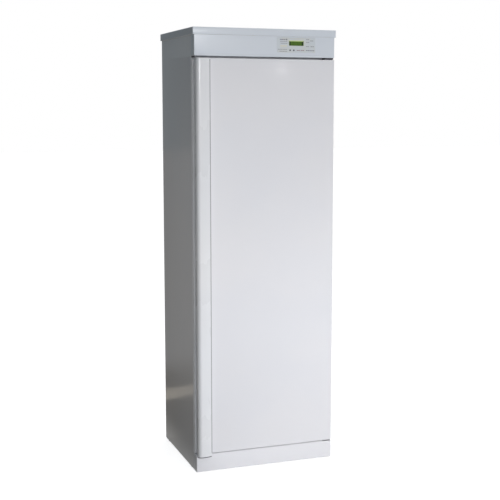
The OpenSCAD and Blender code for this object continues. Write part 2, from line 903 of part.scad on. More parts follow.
// Front plate of a hinge, out to the pin; its tail runs into the frame's channel
module hinge_plate_tail(z) {
    block([frame_x - 26, frame_x - 1], [case_y - eps, frame_y - 1], [z, z + plate_t]);
}

module hinge_plate(z) {
    block([frame_x - 26, side_x], [hinge_y - pin_r - 5, case_y - gap], [z, z + plate_t]);
    block([frame_x - 26, frame_x - 1], [case_y - gap - 0.01, frame_y - 1], [z, z + plate_t]);
}

module hinge_top() {
    color(zinc) {
        hinge_plate(top_plate_z);
        rod_z(hinge_x, hinge_y, [door_z1 - pin_l + 1, top_plate_z + 0.01], pin_r);
    }
}

module hinge_bottom() {
    color(zinc) {
        hinge_plate(low_plate_z);
        rod_z(hinge_x, hinge_y, [low_plate_z + plate_t - 0.01, door_z0 + pin_l - 1], pin_r);
    }
}

// The lower bush has a collar that the door stands on
module door_bushes() {
    color("white") {
        difference() {
            rod_z(hinge_x, hinge_y, [door_z1 - pin_l, door_z1], bush_r);
            rod_z(hinge_x, hinge_y, [door_z1 - pin_l - eps, door_z1 + eps], pin_r + run_gap);
        }
        difference() {
            union() {
                rod_z(hinge_x, hinge_y, [door_z0 - plate_gap + gap, door_z0 + pin_l], bush_r);
                rod_z(hinge_x, hinge_y, [door_z0 - plate_gap + gap, door_z0], bush_r + 1);
            }
            rod_z(hinge_x, hinge_y, [door_z0 - plate_gap, door_z0 + pin_l + eps], pin_r + run_gap);
        }
    }
}

// ---------- handle ----------

// Plan of the handle's crown from a depth behind its face, drawn in by an inset
module crown_plan(back, inset) {
    corner = [-half_w + handle_r, front_y - handle_proud + handle_r];
    x1 = -half_w + handle_w - inset;
    intersection() {
        union() {
            translate(corner) circle(handle_r - inset);
            translate([-half_w + inset, corner[1]])
                square([handle_w - 2 * inset, front_y + back - corner[1]]);
            translate([corner[0], front_y - handle_proud])
                square([x1 - corner[0], handle_proud + back]);
        }
        union() {
            translate([-half_w, front_y - handle_proud]) square([handle_r, handle_proud + door_d]);
            translate([corner[0], front_y - handle_proud + face_r]) circle(face_r - inset, $fn = 180);
        }
        translate([-half_w, front_y - handle_proud]) square([handle_w, handle_proud + back]);
    }
}

module handle_profile() {
    top = door_z1 - cap_t;
    color(enamel) difference() {
        union() {
            extrude_z([door_z0, top]) {
                crown_plan(rebate, 0);
                translate([-half_w, front_y]) square([finger_d, channel_y0 - front_y]);
            }
            extrude_z([handle_z0, door_z0 + 0.01]) crown_plan(-front_clear, 0);
        }
        extrude_z([handle_z0 - eps, top + eps]) crown_plan(-front_clear - handle_t, handle_t);
    }
}

// Strip behind the finger channel, with its outer corners rounded
module edge_strip() {
    x = [-half_w + edge_r, core_x0];
    y = [channel_y1 + edge_r, liner_door_y - edge_r];
    color(enamel) extrude_z([door_z0, door_z1 - cap_t]) {
        for (corner_y = y) translate([x[0], corner_y]) circle(edge_r);
        translate([x[0], channel_y1]) square([x[1] - x[0], liner_door_y - channel_y1]);
        translate([-half_w, y[0]]) square([edge_r, y[1] - y[0]]);
    }
}

module handle_caps() {
    top = door_z1 - cap_t;
    color(enamel) {
        extrude_z([top, door_z1]) {
            crown_plan(rebate, 0);
            translate([-half_w, front_y + rebate]) square([finger_d, door_d - rebate]);
        }
        extrude_z([top - cap_plug, top + 0.01]) crown_plan(-front_clear - handle_t, handle_t);
        extrude_z([handle_z0 - cap_t, handle_z0]) crown_plan(-front_clear, 0);
        extrude_z([handle_z0 - 0.01, handle_z0 + cap_plug]) crown_plan(-front_clear - handle_t, handle_t);
    }
}

// ---------- feet ----------

module foot(x, y) {
    color(dark) {
        rod_z(x, y, [0, foot_h], foot_r);
        rod_z(x, y, [foot_h - 0.01, foot_top], stem_r);
    }
}

module foot_front_left() {
    foot(-foot_x, foot_y0);
}

module foot_front_right() {
    foot(foot_x, foot_y0);
}

module foot_back_left() {
    foot(-foot_x, foot_y1);
}

module foot_back_right() {
    foot(foot_x, foot_y1);
}

top_cover();
top_insulation();
fascia_panel();
plinth_panel();
side_panel_left();
side_panel_right();
back_panel();
base_plate();
base_rails();
frame_head();
frame_sill();
frame_stiles();
liner_left();
liner_right();
liner_back();
liner_floor();
liner_ceiling();
side_insulation();
ceiling_grilles();
exhaust_duct();
exhaust_collar();
fan_housing();
fan_motor();
fan_wheel();
motor_shaft();
heating_element();
heater_plate();
safety_thermostat();
humidity_sensor();
terminal_box();
cable_gland();
control_board();
lcd_module();
lcd_window();
panel_overlay();
key_left();
key_right();
hinge_top();
hinge_bottom();
door_skin();
door_liner();
door_core();
door_seal();
door_bushes();
handle_profile();
edge_strip();
handle_caps();
door_sensor();
sensor_magnet();
hanger_rack_upper();
hanger_rack_middle();
hanger_rack_lower();
shoe_rack();
rack_supports();
drip_tray();
foot_front_left();
foot_front_right();
foot_back_left();
foot_back_right();
case_screws();
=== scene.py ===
import json
import math

import bmesh
import bpy
from mathutils import Matrix, Vector


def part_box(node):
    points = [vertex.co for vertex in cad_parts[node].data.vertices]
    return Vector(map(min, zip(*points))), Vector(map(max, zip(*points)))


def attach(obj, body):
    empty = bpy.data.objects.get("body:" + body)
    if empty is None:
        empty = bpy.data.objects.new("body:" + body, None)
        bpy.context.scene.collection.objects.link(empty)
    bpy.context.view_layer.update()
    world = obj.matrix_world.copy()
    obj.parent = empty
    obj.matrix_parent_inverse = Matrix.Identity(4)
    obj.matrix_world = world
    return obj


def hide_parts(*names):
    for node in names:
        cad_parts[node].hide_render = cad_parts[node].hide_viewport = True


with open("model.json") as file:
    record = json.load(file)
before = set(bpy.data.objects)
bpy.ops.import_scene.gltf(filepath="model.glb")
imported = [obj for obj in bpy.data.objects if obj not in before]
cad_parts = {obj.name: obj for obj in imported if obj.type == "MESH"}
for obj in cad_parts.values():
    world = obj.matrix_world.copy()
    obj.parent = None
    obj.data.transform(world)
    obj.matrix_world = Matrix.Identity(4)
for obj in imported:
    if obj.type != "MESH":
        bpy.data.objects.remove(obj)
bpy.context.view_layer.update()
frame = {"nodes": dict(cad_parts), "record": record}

# ---------- sizes, in metres, worked out from the frame ----------

MM = 0.001
CLOSE = 0.03 * MM
X, Y, Z = 0, 1, 2

SHEET = 0.8 * MM
EDGE_R = 3 * MM
FOLD_R = 9 * MM
BEND_R = 1.2 * MM
KEY_HOLE_R = 3.35 * MM
ARC_STEP = 6    # degrees between the lines of a drawn arc


def middle_of(node):
    """The middle of a CAD node's box."""
    low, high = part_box(node)
    return (low + high) / 2


(CORE_X0, FRONT_Y, DOOR_Z0), (HALF_W, DOOR_BACK_Y, DOOR_Z1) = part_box("door_skin")
HANDLE_LOW, HANDLE_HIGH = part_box("handle_profile")
DOOR_X0 = HANDLE_HIGH.x
CASE_Y, BACK_Y = (corner.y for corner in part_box("side_panel_left"))
FASCIA_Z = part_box("fascia_panel")[0].z
LID_Z, LID_TOP = (corner.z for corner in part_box("top_cover"))
OPEN_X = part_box("liner_right")[0].x
CHAMBER_Z0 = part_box("liner_floor")[1].z
CHAMBER_Z1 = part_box("liner_left")[1].z
FRAME_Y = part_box("liner_left")[0].y
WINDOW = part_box("lcd_window")
KEYS = [middle_of("key_left"), middle_of("key_right")]
PIN = middle_of("door_bushes")
DUCT = middle_of("exhaust_collar")
GLAND = middle_of("cable_gland")


# ---------- working on a mesh ----------

def rest():
    """Leaves edit mode with nothing selected."""
    if bpy.context.mode != "OBJECT":
        bpy.ops.object.mode_set(mode="OBJECT")
    bpy.ops.object.select_all(action="DESELECT")


def take(piece):
    """Selects one piece alone and makes it the active one."""
    rest()
    piece.select_set(True)
    bpy.context.view_layer.objects.active = piece


def settle(name):
    """Names the new primitive and brings its place into its mesh."""
    piece = bpy.context.object
    piece.name = name
    piece.data.name = name
    bpy.ops.object.transform_apply(location=True, rotation=True, scale=True)
    return piece


def box(name, low, high):
    rest()
    low, high = Vector(low), Vector(high)
    bpy.ops.mesh.primitive_cube_add(size=1, location=(low + high) / 2, scale=high - low)
    return settle(name)


def sheet(name, at, size, turn):
    """A flat square sheet, turned by an angle about X."""
    rest()
    bpy.ops.mesh.primitive_plane_add(size=1, location=at, rotation=(turn, 0, 0))
    bpy.context.object.scale = (*size, 1)
    return settle(name)


def rod(name, axis, at, start, end, radius, sides):
    """A rod along an axis through a point, from one level to another."""
    rest()
    low, high = Vector(at), Vector(at)
    low[axis], high[axis] = start, end
    run = high - low
    bpy.ops.mesh.primitive_cylinder_add(
        vertices=sides, radius=radius, depth=run.length, location=(low + high) / 2,
        rotation=run.to_track_quat("Z", "Y").to_euler())
    return settle(name)


def corners(part):
    return getattr(part, "verts", [part])


def middle(part):
    """The middle of a face, an edge or a vertex."""
    return sum((corner.co for corner in corners(part)), Vector()) / len(corners(part))


def lies_at(axis, value):
    """A test: every corner lies at one value along an axis."""
    return lambda part: all(abs(corner.co[axis] - value) < CLOSE for corner in corners(part))


def facing(axis, sign):
    """A test: a face looks along an axis."""
    return lambda face: face.normal[axis] * sign > 0.9


def both(first, second):
    return lambda part: first(part) and second(part)


def anything(part):
    return True


def runs_along(axis):
    """A test: an edge runs along an axis."""
    def test(edge):
        run = edge.verts[1].co - edge.verts[0].co
        return abs(run[axis]) > 0.999 * run.length
    return test


def is_sharp(edge):
    return len(edge.link_faces) == 2 and edge.calc_face_angle() > math.radians(40)


def choose(piece, kind, test):
    """Opens a piece in edit mode with the faces, edges or vertices selected that pass a test."""
    if bpy.context.mode != "EDIT_MESH" or bpy.context.object != piece:
        take(piece)
        bpy.ops.object.mode_set(mode="EDIT")
    bpy.ops.mesh.select_mode(type=kind)
    bpy.ops.mesh.select_all(action="DESELECT")
    mesh = bmesh.from_edit_mesh(piece.data)
    for part in {"FACE": mesh.faces, "EDGE": mesh.edges, "VERT": mesh.verts}[kind]:
        if test(part):
            part.select_set(True)
    bmesh.update_edit_mesh(piece.data)


def round_edges(piece, test, radius, steps):
    choose(piece, "EDGE", test)
    bpy.ops.mesh.bevel(offset=radius, segments=steps, affect="EDGES")


def round_rim(piece, axis, level, radius, steps):
    """Rounds the sharp edges that lie at one level along an axis."""
    round_edges(piece, both(lies_at(axis, level), is_sharp), radius, steps)


def extrude(*move):
    """Extrudes the selected faces."""
    bpy.ops.mesh.extrude_region_move(TRANSFORM_OT_translate={"value": move})


def inset(*steps):
    """Draws the selected faces in; a step is (width, rise)."""
    for width, rise in steps:
        bpy.ops.mesh.inset(thickness=width, depth=rise)


def push_faces(piece, test, *move):
    choose(piece, "FACE", test)
    extrude(*move)


def inset_faces(piece, test, *steps):
    choose(piece, "FACE", test)
    inset(*steps)


def delete_faces(piece, test):
    choose(piece, "FACE", test)
    bpy.ops.mesh.delete(type="FACE")


def slice_at(piece, axis, value):
    """Cuts new edges through a piece at one value along an axis."""
    normal = Vector((0, 0, 0))
    normal[axis] = 1
    choose(piece, "FACE", anything)
    bpy.ops.mesh.bisect(plane_co=normal * value, plane_no=normal)


def modify(piece, kind, **settings):
    """Adds a modifier and applies it."""
    take(piece)
    modifier = piece.modifiers.new(kind.title(), kind)
    for name, value in settings.items():
        setattr(modifier, name, value)
    bpy.ops.object.modifier_apply(modifier=modifier.name)
    return piece


def thicken(piece, thickness):
    """Gives a surface its wall, on the inner side."""
    return modify(piece, "SOLIDIFY", thickness=thickness, offset=-1, use_even_offset=True)


def soften(piece, width, steps, angle=35):
    """Rounds every sharp edge a little."""
    return modify(piece, "BEVEL", width=width, segments=steps, limit_method="ANGLE",
                  angle_limit=math.radians(angle))


def join(name, *pieces):
    rest()
    for piece in pieces:
        piece.select_set(True)
    bpy.context.view_layer.objects.active = pieces[0]
    if len(pieces) > 1:
        bpy.ops.object.join()
    pieces[0].name = name
    return pieces[0]


def cut(piece, *tools):
    """Cuts the tools' shapes out of a piece."""
    tool = join("cutter", *tools)
    modify(piece, "BOOLEAN", operation="DIFFERENCE", solver="EXACT", object=tool)
    bpy.data.objects.remove(tool)
    return piece


def copy_moved(piece, place):
    """A copy with a mesh of its own, put through a matrix."""
    twin = piece.copy()
    twin.data = piece.data.copy()
    bpy.context.collection.objects.link(twin)
    twin.data.transform(place)
    if place.determinant() < 0:
        twin.data.flip_normals()
    return twin


def node_copy(node, name):
    """A copy of a CAD node as one merged mesh with whole faces."""
    rest()
    piece = bpy.data.objects.new(name, frame["nodes"][node].data.copy())
    bpy.context.collection.objects.link(piece)
    choose(piece, "FACE", anything)
    bpy.ops.mesh.remove_doubles(threshold=0.001 * MM)
    bpy.ops.mesh.dissolve_limited(angle_limit=math.radians(0.5))
    rest()
    return piece


def place(piece, slot, finish, *nodes, body="cabinet", smooth=32):
    """Finishes a piece: shading, material, body, and hides the nodes it stands for; the slot is not used."""
    take(piece)
    bpy.ops.object.shade_smooth_by_angle(angle=math.radians(smooth))
    piece.data.materials.clear()
    piece.data.materials.append(finish)
    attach(piece, body)
    if nodes:
        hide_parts(*nodes)
    rest()
    return piece


def place_sides(left, slot, finish, node):
    """Places a left piece of the casing and its mirrored twin on the right."""
    right = copy_moved(left, Matrix.Scale(-1, 4, (1, 0, 0)))
    right.name = left.name.replace("left", "right")
    place(left, slot, finish, node + "_left")
    place(right, slot, finish, node + "_right")


def outline(name, start, z, path):
    """An upright bar: one upright edge is drawn along straight runs and arcs, and both ends are closed.

    A run is its end point (x, y); an arc is (x, y, degrees) with its centre and its turn to the left."""
    width = MM
    at = (start[0] + width / 2, start[1], (z[0] + z[1]) / 2)
    piece = sheet(name, at, (width, z[1] - z[0]), math.pi / 2)
    choose(piece, "VERT", lambda corner: corner.co.x > start[0] + width / 2)
    bpy.ops.mesh.delete(type="VERT")
    bpy.ops.mesh.select_mode(type="EDGE")
    bpy.ops.mesh.select_all(action="SELECT")
    for step in path:
        if len(step) == 2:
            mesh = bmesh.from_edit_mesh(piece.data)
            here = next(edge for edge in mesh.edges if edge.select).verts[0].co
            run = (step[0] - here.x, step[1] - here.y, 0)
            bpy.ops.mesh.extrude_edges_move(TRANSFORM_OT_translate={"value": run})
        else:
            bpy.ops.mesh.spin(steps=max(3, round(abs(step[2]) / ARC_STEP)), angle=-math.radians(step[2]),
                              center=(step[0], step[1], 0), axis=(0, 0, 1))
    bpy.ops.mesh.select_all(action="SELECT")
    bpy.ops.mesh.remove_doubles(threshold=CLOSE / 3)
    for level in z:
        choose(piece, "EDGE", lies_at(Z, level))
        bpy.ops.mesh.edge_face_add()
    bpy.ops.mesh.select_all(action="SELECT")
    bpy.ops.mesh.normals_make_consistent(inside=False)
    rest()
    return piece


# ---------- materials ----------

def operators(operation):
    """A method of Value and its twin with both terms swapped; each makes one Math node."""
    return (lambda self, other: self.tree.math(operation, self, other),
            lambda self, other: self.tree.math(operation, other, self))


class Value:
    """A number that changes over a surface; a sum or product of it becomes a Math node."""

    def __init__(self, tree, socket):
        self.tree = tree
        self.socket = socket

    def __abs__(self):
        return self.tree.math("ABSOLUTE", self)

    __add__, __radd__ = operators("ADD")
    __sub__, __rsub__ = operators("SUBTRACT")
    __mul__, __rmul__ = operators("MULTIPLY")


class Tree:
    """A node tree, built up node by node."""

    def __init__(self, owner):
        owner.use_nodes = True
        self.owner = owner
        self.nodes = owner.node_tree.nodes
        self.links = owner.node_tree.links

    def put(self, socket, value):
        if isinstance(value, Value):
            self.links.new(value.socket, socket)
        elif socket.type == "RGBA":
            socket.default_value = (*value, 1)
        else:
            socket.default_value = value

    def node(self, kind, inputs, output=0, **settings):
        """Adds a node: its settings first, then the values or links of its sockets."""
        node = self.nodes.new("ShaderNode" + kind)
        for name, value in settings.items():
            setattr(node, name, value)
        for name, value in inputs.items():
            self.put(node.inputs[name], value)
        return Value(self, node.outputs[output])

    def math(self, operation, *terms):
        return self.node("Math", dict(enumerate(terms)), operation=operation)

    def mix(self, factor, first, second):
        """A colour between two colours."""
        return self.node("Mix", {0: factor, 6: first, 7: second}, 2, data_type="RGBA")

    def step(self, value, low, high):
        """0 below low, 1 above high, and a smooth rise between them."""
        return self.node("MapRange", {"Value": value, "From Min": low, "From Max": high},
                         interpolation_type="SMOOTHSTEP")


class Finish(Tree):
    """A material built round one Principled shader, on the object's own coordinates."""

    def __init__(self, name, colour, roughness, metallic=0, **constants):
        super().__init__(bpy.data.materials.new(name))
        self.shader = self.nodes["Principled BSDF"]
        self.set("Base Color", colour)
        self.set("Roughness", roughness)
        self.set("Metallic", metallic)
        for key, value in constants.items():
            self.set(key.replace("_", " ").title().replace("Ior", "IOR"), value)
        self.place = self.node("TexCoord", {}, "Object")

    def set(self, name, value):
        self.put(self.shader.inputs[name], value)

    def blend(self, factor, first, second):
        """Gives the surface a colour between two colours."""
        self.set("Base Color", self.mix(factor, first, second))

    def along(self, axis):
        return self.node("SeparateXYZ", {0: self.place}, axis)

    def noise(self, scale, detail=2, stretch=None):
        """Noise on the object's own coordinates, which may be drawn out along an axis."""
        where = self.place
        if stretch:
            where = self.node("VectorMath", {0: where, 1: stretch}, operation="MULTIPLY")
        return self.node("TexNoise", {"Vector": where, "Scale": scale, "Detail": detail})

    def bump(self, *layers):
        """Lays bumps on each other; a layer is (height, depth in metres)."""
        normal = None
        for height, depth in layers:
            inputs = {"Height": height, "Distance": depth, "Strength": 1}
            if normal:
                inputs["Normal"] = normal
            normal = self.node("Bump", inputs)
        self.set("Normal", normal)


def linear(*colour):
    """A colour given as 0 to 255 in sRGB, as linear light."""
    return tuple(((c / 255 + 0.055) / 1.055) ** 2.4 if c > 10 else c / 3294.6 for c in colour)


def shade(colour, factor, lift=0):
    """A colour made darker or lighter."""
    return tuple(min(1, c * factor + lift) for c in colour)


def painted(name, colour, roughness, coat=0.25, wave=0.09, peel=0.005, gloss=0.16):
    """Paint on sheet metal: faint changes of tone, orange peel and the sheet's own slight waves."""
    finish = Finish(name, colour, roughness, coat_roughness=gloss)
    shift = 0.012
    cooler = tuple(c * (1 - shift * weight) for c, weight in zip(colour, (1.4, 0.9, 0.3)))
    warmer = tuple(min(1, c * (1 + shift * weight)) for c, weight in zip(colour, (0.9, 0.6, 0.1)))
    finish.blend(finish.step(finish.noise(2.2, 3), 0.35, 0.65), cooler, warmer)
    wiped = finish.noise(9, 4, (1, 1, 0.35))
    finish.set("Roughness", roughness + (wiped - 0.5) * 0.1)
    finish.set("Coat Weight", coat + (0.5 - wiped) * 0.12)
    finish.bump((finish.noise(3.1, 1, (1, 1, 0.45)), wave * MM), (finish.noise(620, 1), peel * MM))
    return finish.owner


def sheet_zinc(name, colour, roughness):
    """Galvanised sheet: large flat crystals, each a little lighter or duller than the next."""
    finish = Finish(name, colour, roughness, 1)
    crystal = finish.node("TexVoronoi", {"Vector": finish.place, "Scale": 95}, "Color")
    grey = finish.node("SeparateColor", {0: crystal}, 0)
    cloud = finish.noise(14, 4)
    finish.blend(grey * 0.6 + cloud * 0.4, shade(colour, 0.82), shade(colour, 1.12))
    finish.set("Roughness", roughness + (grey - 0.5) * 0.16 + (cloud - 0.5) * 0.1)
    finish.bump((grey, 0.012 * MM), (finish.noise(420), 0.006 * MM))
    return finish.owner


def brushed(name, colour, roughness, along, tint=None):
    """Bright metal with fine drawing lines along one direction, and stains of a darker tone."""
    finish = Finish(name, colour, roughness, 1)
    stretch = tuple(0.04 if axis == along else 1 for axis in range(3))
    lines = finish.noise(900, 3, stretch)
    stain = finish.noise(18, 3)
    finish.blend(lines * 0.5 + finish.step(stain, 0.4, 0.75) * 0.5, colour, tint or shade(colour, 0.8))
    finish.set("Roughness", roughness + (lines - 0.5) * 0.2 + (stain - 0.5) * 0.12)
    finish.bump((lines, 0.01 * MM))
    return finish.owner


def moulded(name, colour, roughness, grain=900, depth=0.02, coat=0):
    """Moulded plastic or rubber: a fine spark-eroded grain and faint flow marks."""
    finish = Finish(name, colour, roughness, coat_weight=coat)
    finish.blend(finish.noise(22), shade(colour, 0.9), shade(colour, 1.15, 0.006))
    finish.set("Roughness", roughness + (finish.noise(60, 3) - 0.5) * 0.18)
    finish.bump((finish.noise(grain), depth * MM))
    return finish.owner


def wool(name, colour):
    """Mineral wool: short fibres, loose and matt."""
    finish = Finish(name, colour, 0.95)
    fibres = finish.noise(300, 5, (1, 0.35, 1))
    finish.blend(fibres, shade(colour, 0.62), shade(colour, 1.2))
    finish.bump((fibres, 0.6 * MM), (finish.noise(60, 3), 1.2 * MM))
    return finish.owner


def circuit(name):
    """Green lacquered board with copper runs under the lacquer and tinned pads."""
    green, run, tin = (0.012, 0.10, 0.035), (0.03, 0.19, 0.07), (0.62, 0.62, 0.60)
    finish = Finish(name, green, 0.35, coat_weight=0.5)
    wave_x, wave_z = (finish.node("TexWave", {"Vector": finish.place, "Scale": 70, "Distortion": 1.5},
                                  wave_type="BANDS", bands_direction=axis) for axis in ("X", "Z"))
    runs = finish.math("MAXIMUM", finish.step(wave_x, 0.8, 0.84), finish.step(wave_z, 0.84, 0.88))
    cells = finish.node("TexVoronoi", {"Vector": finish.place, "Scale": 210})
    pads = 1 - finish.step(cells, 0.16, 0.2)
    finish.blend(pads, finish.mix(runs, green, run), tin)
    finish.set("Roughness", 0.35 - pads * 0.1 + (finish.noise(90) - 0.5) * 0.1)
    finish.set("Metallic", pads)
    return finish.owner


def lit_display(name, low, high):
    """A green character display: cells in two rows, darker ends and a pale light along its upper edge."""
    finish = Finish(name, (0.09, 0.2, 0.012), 0.3, specular_ior_level=0.25)
    x, z = finish.along(X), finish.along(Z)
    half = (high.x - low.x) / 2
    end = abs(x - (low.x + high.x) / 2)
    top = finish.step(z, high.z - 3.4 * MM, high.z - 1.6 * MM)
    ends = finish.step(end, half - 10 * MM, half - 5 * MM)
    rim = finish.step(end, half - 1.6 * MM, half - 0.9 * MM)
    pitch, row = 3.55 * MM, 7.2 * MM
    across = finish.math("FRACT", x * (1 / pitch))
    down = finish.math("FRACT", (z - low.z) * (1 / row))
    cell = finish.step(across, 0.08, 0.16) * finish.step(down, 0.1, 0.18)
    spots = finish.step(finish.noise(420, 1), 0.48, 0.56) * cell
    green = finish.mix(spots * 0.6 + 0.15 * cell, linear(70, 102, 22), linear(30, 52, 8))
    green = finish.mix(ends * 0.85, green, linear(24, 38, 18))
    green = finish.mix(top, green, linear(196, 212, 150))
    finish.blend(rim, green, linear(150, 164, 130))
    finish.set("Emission Color", finish.mix(ends, (0.008, 0.02, 0.001), (0, 0, 0)))
    finish.set("Emission Strength", 1)
    finish.set("Roughness", 0.28 + finish.noise(40) * 0.08)
    return finish.owner


def printed_film(name, colour):
    """Satin printed film, a shade warmer than the paint round it, with a fine texture."""
    finish = Finish(name, colour, 0.42)
    warm = (colour[0] * 1.03, colour[1], colour[2] * 0.94)
    finish.blend(finish.step(finish.noise(26), 0.4, 0.62), colour, warm)
    finish.set("Roughness", 0.42 + (finish.noise(160) - 0.5) * 0.16)
    finish.bump((finish.noise(1800, 1), 0.008 * MM))
    return finish.owner


def painted_shade_below(name, colour, dark, level):
    """Smooth plastic in the paint's colour, darker below one height as painted shade."""
    finish = Finish(name, colour, 0.3, coat_weight=0.3)
    # Below this height the colour is painted shade.
    below = 1 - finish.step(finish.along(Z), level - 0.4 * MM, level)
    tone = finish.noise(30)
    finish.blend(below, finish.mix(tone, colour, shade(colour, 1.02)), dark)
    finish.set("Roughness", 0.3 + below * 0.2 + (tone - 0.5) * 0.1)
    return finish.owner


def ink(name, colour):
    """Screen-printed ink, a little uneven where it lies on the film."""
    finish = Finish(name, colour, 0.5)
    thin = finish.noise(900)
    finish.blend(thin, colour, shade(colour, 1.25, 0.02))
    finish.set("Roughness", 0.45 + thin * 0.15)
    return finish.owner


ENAMEL = painted("enamel", linear(221, 221, 226), 0.32, gloss=0.08)
SIDE_ENAMEL = painted("side_enamel", linear(221, 221, 226), 0.3, coat=0.75, wave=0.5, gloss=0.07)
COOL_ENAMEL = painted("cool_enamel", linear(206, 212, 221), 0.32, coat=0.5)
HANDLE_ENAMEL = painted("handle_enamel", linear(220, 221, 225), 0.28, coat=0.4, wave=0, gloss=0.1)
LINING_ENAMEL = painted("lining_enamel", linear(226, 228, 228), 0.38, coat=0.12, wave=0.06)
MOTOR_PAINT = painted("motor_paint", (0.02, 0.02, 0.022), 0.45, wave=0)
RACK_COATING = painted("rack_coating", linear(232, 234, 234), 0.33, coat=0.3, wave=0, peel=0.02)
ZINC = sheet_zinc("zinc_sheet", (0.56, 0.58, 0.60), 0.42)
STEEL = brushed("plated_steel", (0.60, 0.61, 0.63), 0.3, Z)
# Dark steel for the hinge plates; in the top gap it darkens the line at the hinge side.
DARK_STEEL = brushed("dark_hinge_steel", (0.13, 0.13, 0.15), 0.45, X)
HEATING_STEEL = brushed("oxidised_steel", (0.20, 0.19, 0.18), 0.42, X, (0.24, 0.15, 0.09))
NICKEL = brushed("nickel", (0.58, 0.56, 0.52), 0.22, X)
WOOL = wool("mineral_wool", (0.52, 0.42, 0.2))
SEAL_RUBBER = moulded("seal_rubber", linear(206, 208, 210), 0.6, 500, 0.03)
# Grey for the painted shade strip beside the handle.
SEAM_SHADE_STRIP = moulded("painted_seam_shade", linear(146, 146, 150), 0.6, 500, 0.02)
# Dark grey for the painted shade block in the top gap's corner.
GAP_SHADE_FINISH = moulded("painted_gap_shade", linear(98, 98, 102), 0.6, 500, 0.02)
BUSH_PLASTIC = moulded("bush_plastic", (0.72, 0.72, 0.69), 0.35)
BLACK_PLASTIC = moulded("black_plastic", (0.016, 0.016, 0.018), 0.5)
FOOT_PLASTIC = moulded("foot_plastic", (0.022, 0.022, 0.024), 0.55, 500, 0.05)
KEY_PLASTIC = moulded("key_plastic", linear(62, 68, 80), 0.35, 1500, 0.006, 0.3)
CIRCUIT = circuit("circuit_board")
DISPLAY = lit_display("display", *WINDOW)
# The low end cap is painted in shade, for the shadow that the crown's lower rim casts there.
CAP_ENAMEL_PAINTED_SHADE = painted_shade_below("cap_enamel", linear(220, 221, 225), linear(88, 88, 92), HANDLE_LOW.z)
FILM = printed_film("overlay_film", linear(198, 204, 210))

NODE_FINISH = {node: finish for finish, nodes in [
    (WOOL, "door_core top_insulation side_insulation"), (BUSH_PLASTIC, "door_bushes"),
    (BLACK_PLASTIC, "fan_wheel safety_thermostat humidity_sensor terminal_box door_sensor lcd_module"),
    (MOTOR_PAINT, "fan_motor"), (CIRCUIT, "control_board"), (STEEL, "motor_shaft"),
    (HEATING_STEEL, "heating_element"), (NICKEL, "sensor_magnet"),
] for node in nodes.split()}
SLOT_FINISH = {"lining": LINING_ENAMEL, "zinc_sheet": ZINC}


def dress_nodes():
    """Gives the CAD nodes that stay in view their finish, by name or by slot in the record."""
    slots = {part["node"]: part["material_slot"] for part in frame["record"]["subparts"]}
    for name, node in frame["nodes"].items():
        finish = NODE_FINISH.get(name) or SLOT_FINISH.get(slots[name])
        if finish:
            node.data.materials.clear()
            node.data.materials.append(finish)


# ---------- casing ----------

def front_tray(name, low, high, open_side, bend):
    """Sheet folded round both front corners and at one bend, open at its back and above or below."""
    piece = box(name, low, high)
    round_edges(piece, both(runs_along(Z), lies_at(Y, low.y)), EDGE_R, 6)
    round_rim(piece, Z, bend, BEND_R, 3)
    delete_faces(piece, lambda face: facing(Y, 1)(face) or facing(Z, open_side)(face))
    return thicken(piece, SHEET)


def top_cover():
    """The folded lid, with a flange under its edge and openings for the duct and the cable."""
    low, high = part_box("top_cover")
    flange, corner_r, edge_r, reach = 22 * MM, 4 * MM, 1.8 * MM, 4 * MM
    piece = box("top_cover_sheet", low, high)
    round_edges(piece, both(runs_along(Z), lies_at(Y, low.y)), corner_r, 6)
    round_rim(piece, Z, high.z, edge_r, 4)
    round_rim(piece, Z, low.z, BEND_R, 3)
    inset_faces(piece, lies_at(Z, low.z), (flange, 0))
    delete_faces(piece, lambda face: facing(Z, -1)(face) and abs(middle(face).x) < flange)
    thicken(piece, SHEET)
    cut(piece, *[rod("hole", Z, at, high.z - reach, high.z + reach, radius, 64)
                 for at, radius in ((DUCT, 48.8 * MM), (GLAND, 9.5 * MM))])
    place(piece, "enamel", COOL_ENAMEL, "top_cover")


def key_holes(front, back):
    """The cutting rods for both keys' holes."""
    return [rod("hole", Y, key, front, back, KEY_HOLE_R, 32) for key in KEYS]


def fascia():
    """The control fascia with its lower flange, the display's cut-out, key holes and board posts."""
    low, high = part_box("fascia_panel")
    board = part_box("control_board")
    reach, margin, flange_x = 3 * MM, 5 * MM, 288 * MM
    piece = front_tray("fascia_sheet", low, Vector((high.x, CASE_Y, high.z)), 1, low.z)
    window = box("window", (WINDOW[0].x, FRONT_Y - reach, WINDOW[0].z),
                 (WINDOW[1].x, FRONT_Y + reach, WINDOW[1].z))
    cut(piece, window, *key_holes(FRONT_Y - reach, FRONT_Y + reach))
    parts = [piece, box("flange", (-flange_x, CASE_Y, low.z), (flange_x, FRAME_Y, low.z + SHEET))]
    for x in (board[0].x + margin, board[1].x - margin):
        for z in (board[0].z + margin, board[1].z - margin):
            parts.append(rod("post", Y, (x, 0, z), FRONT_Y + SHEET, board[0].y + 3.5 * MM, 3 * MM, 24))
    place(join("fascia_sheet", *parts), "enamel", COOL_ENAMEL, "fascia_panel")


def plinth():
    """The plinth, with a trim strip on its upper edge as far as the hinge."""
    low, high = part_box("plinth_panel")
    piece = front_tray("plinth_sheet", low, high, -1, high.z)
    trim = box("trim", (low.x + 8 * MM, FRONT_Y + 1.5 * MM, high.z),
               (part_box("hinge_bottom")[0].x - 2 * MM, FRONT_Y + 14 * MM, high.z + 2.6 * MM))
    soften(trim, 0.7 * MM, 2)
    place(join("plinth_sheet", piece, trim), "enamel", ENAMEL, "plinth_panel")


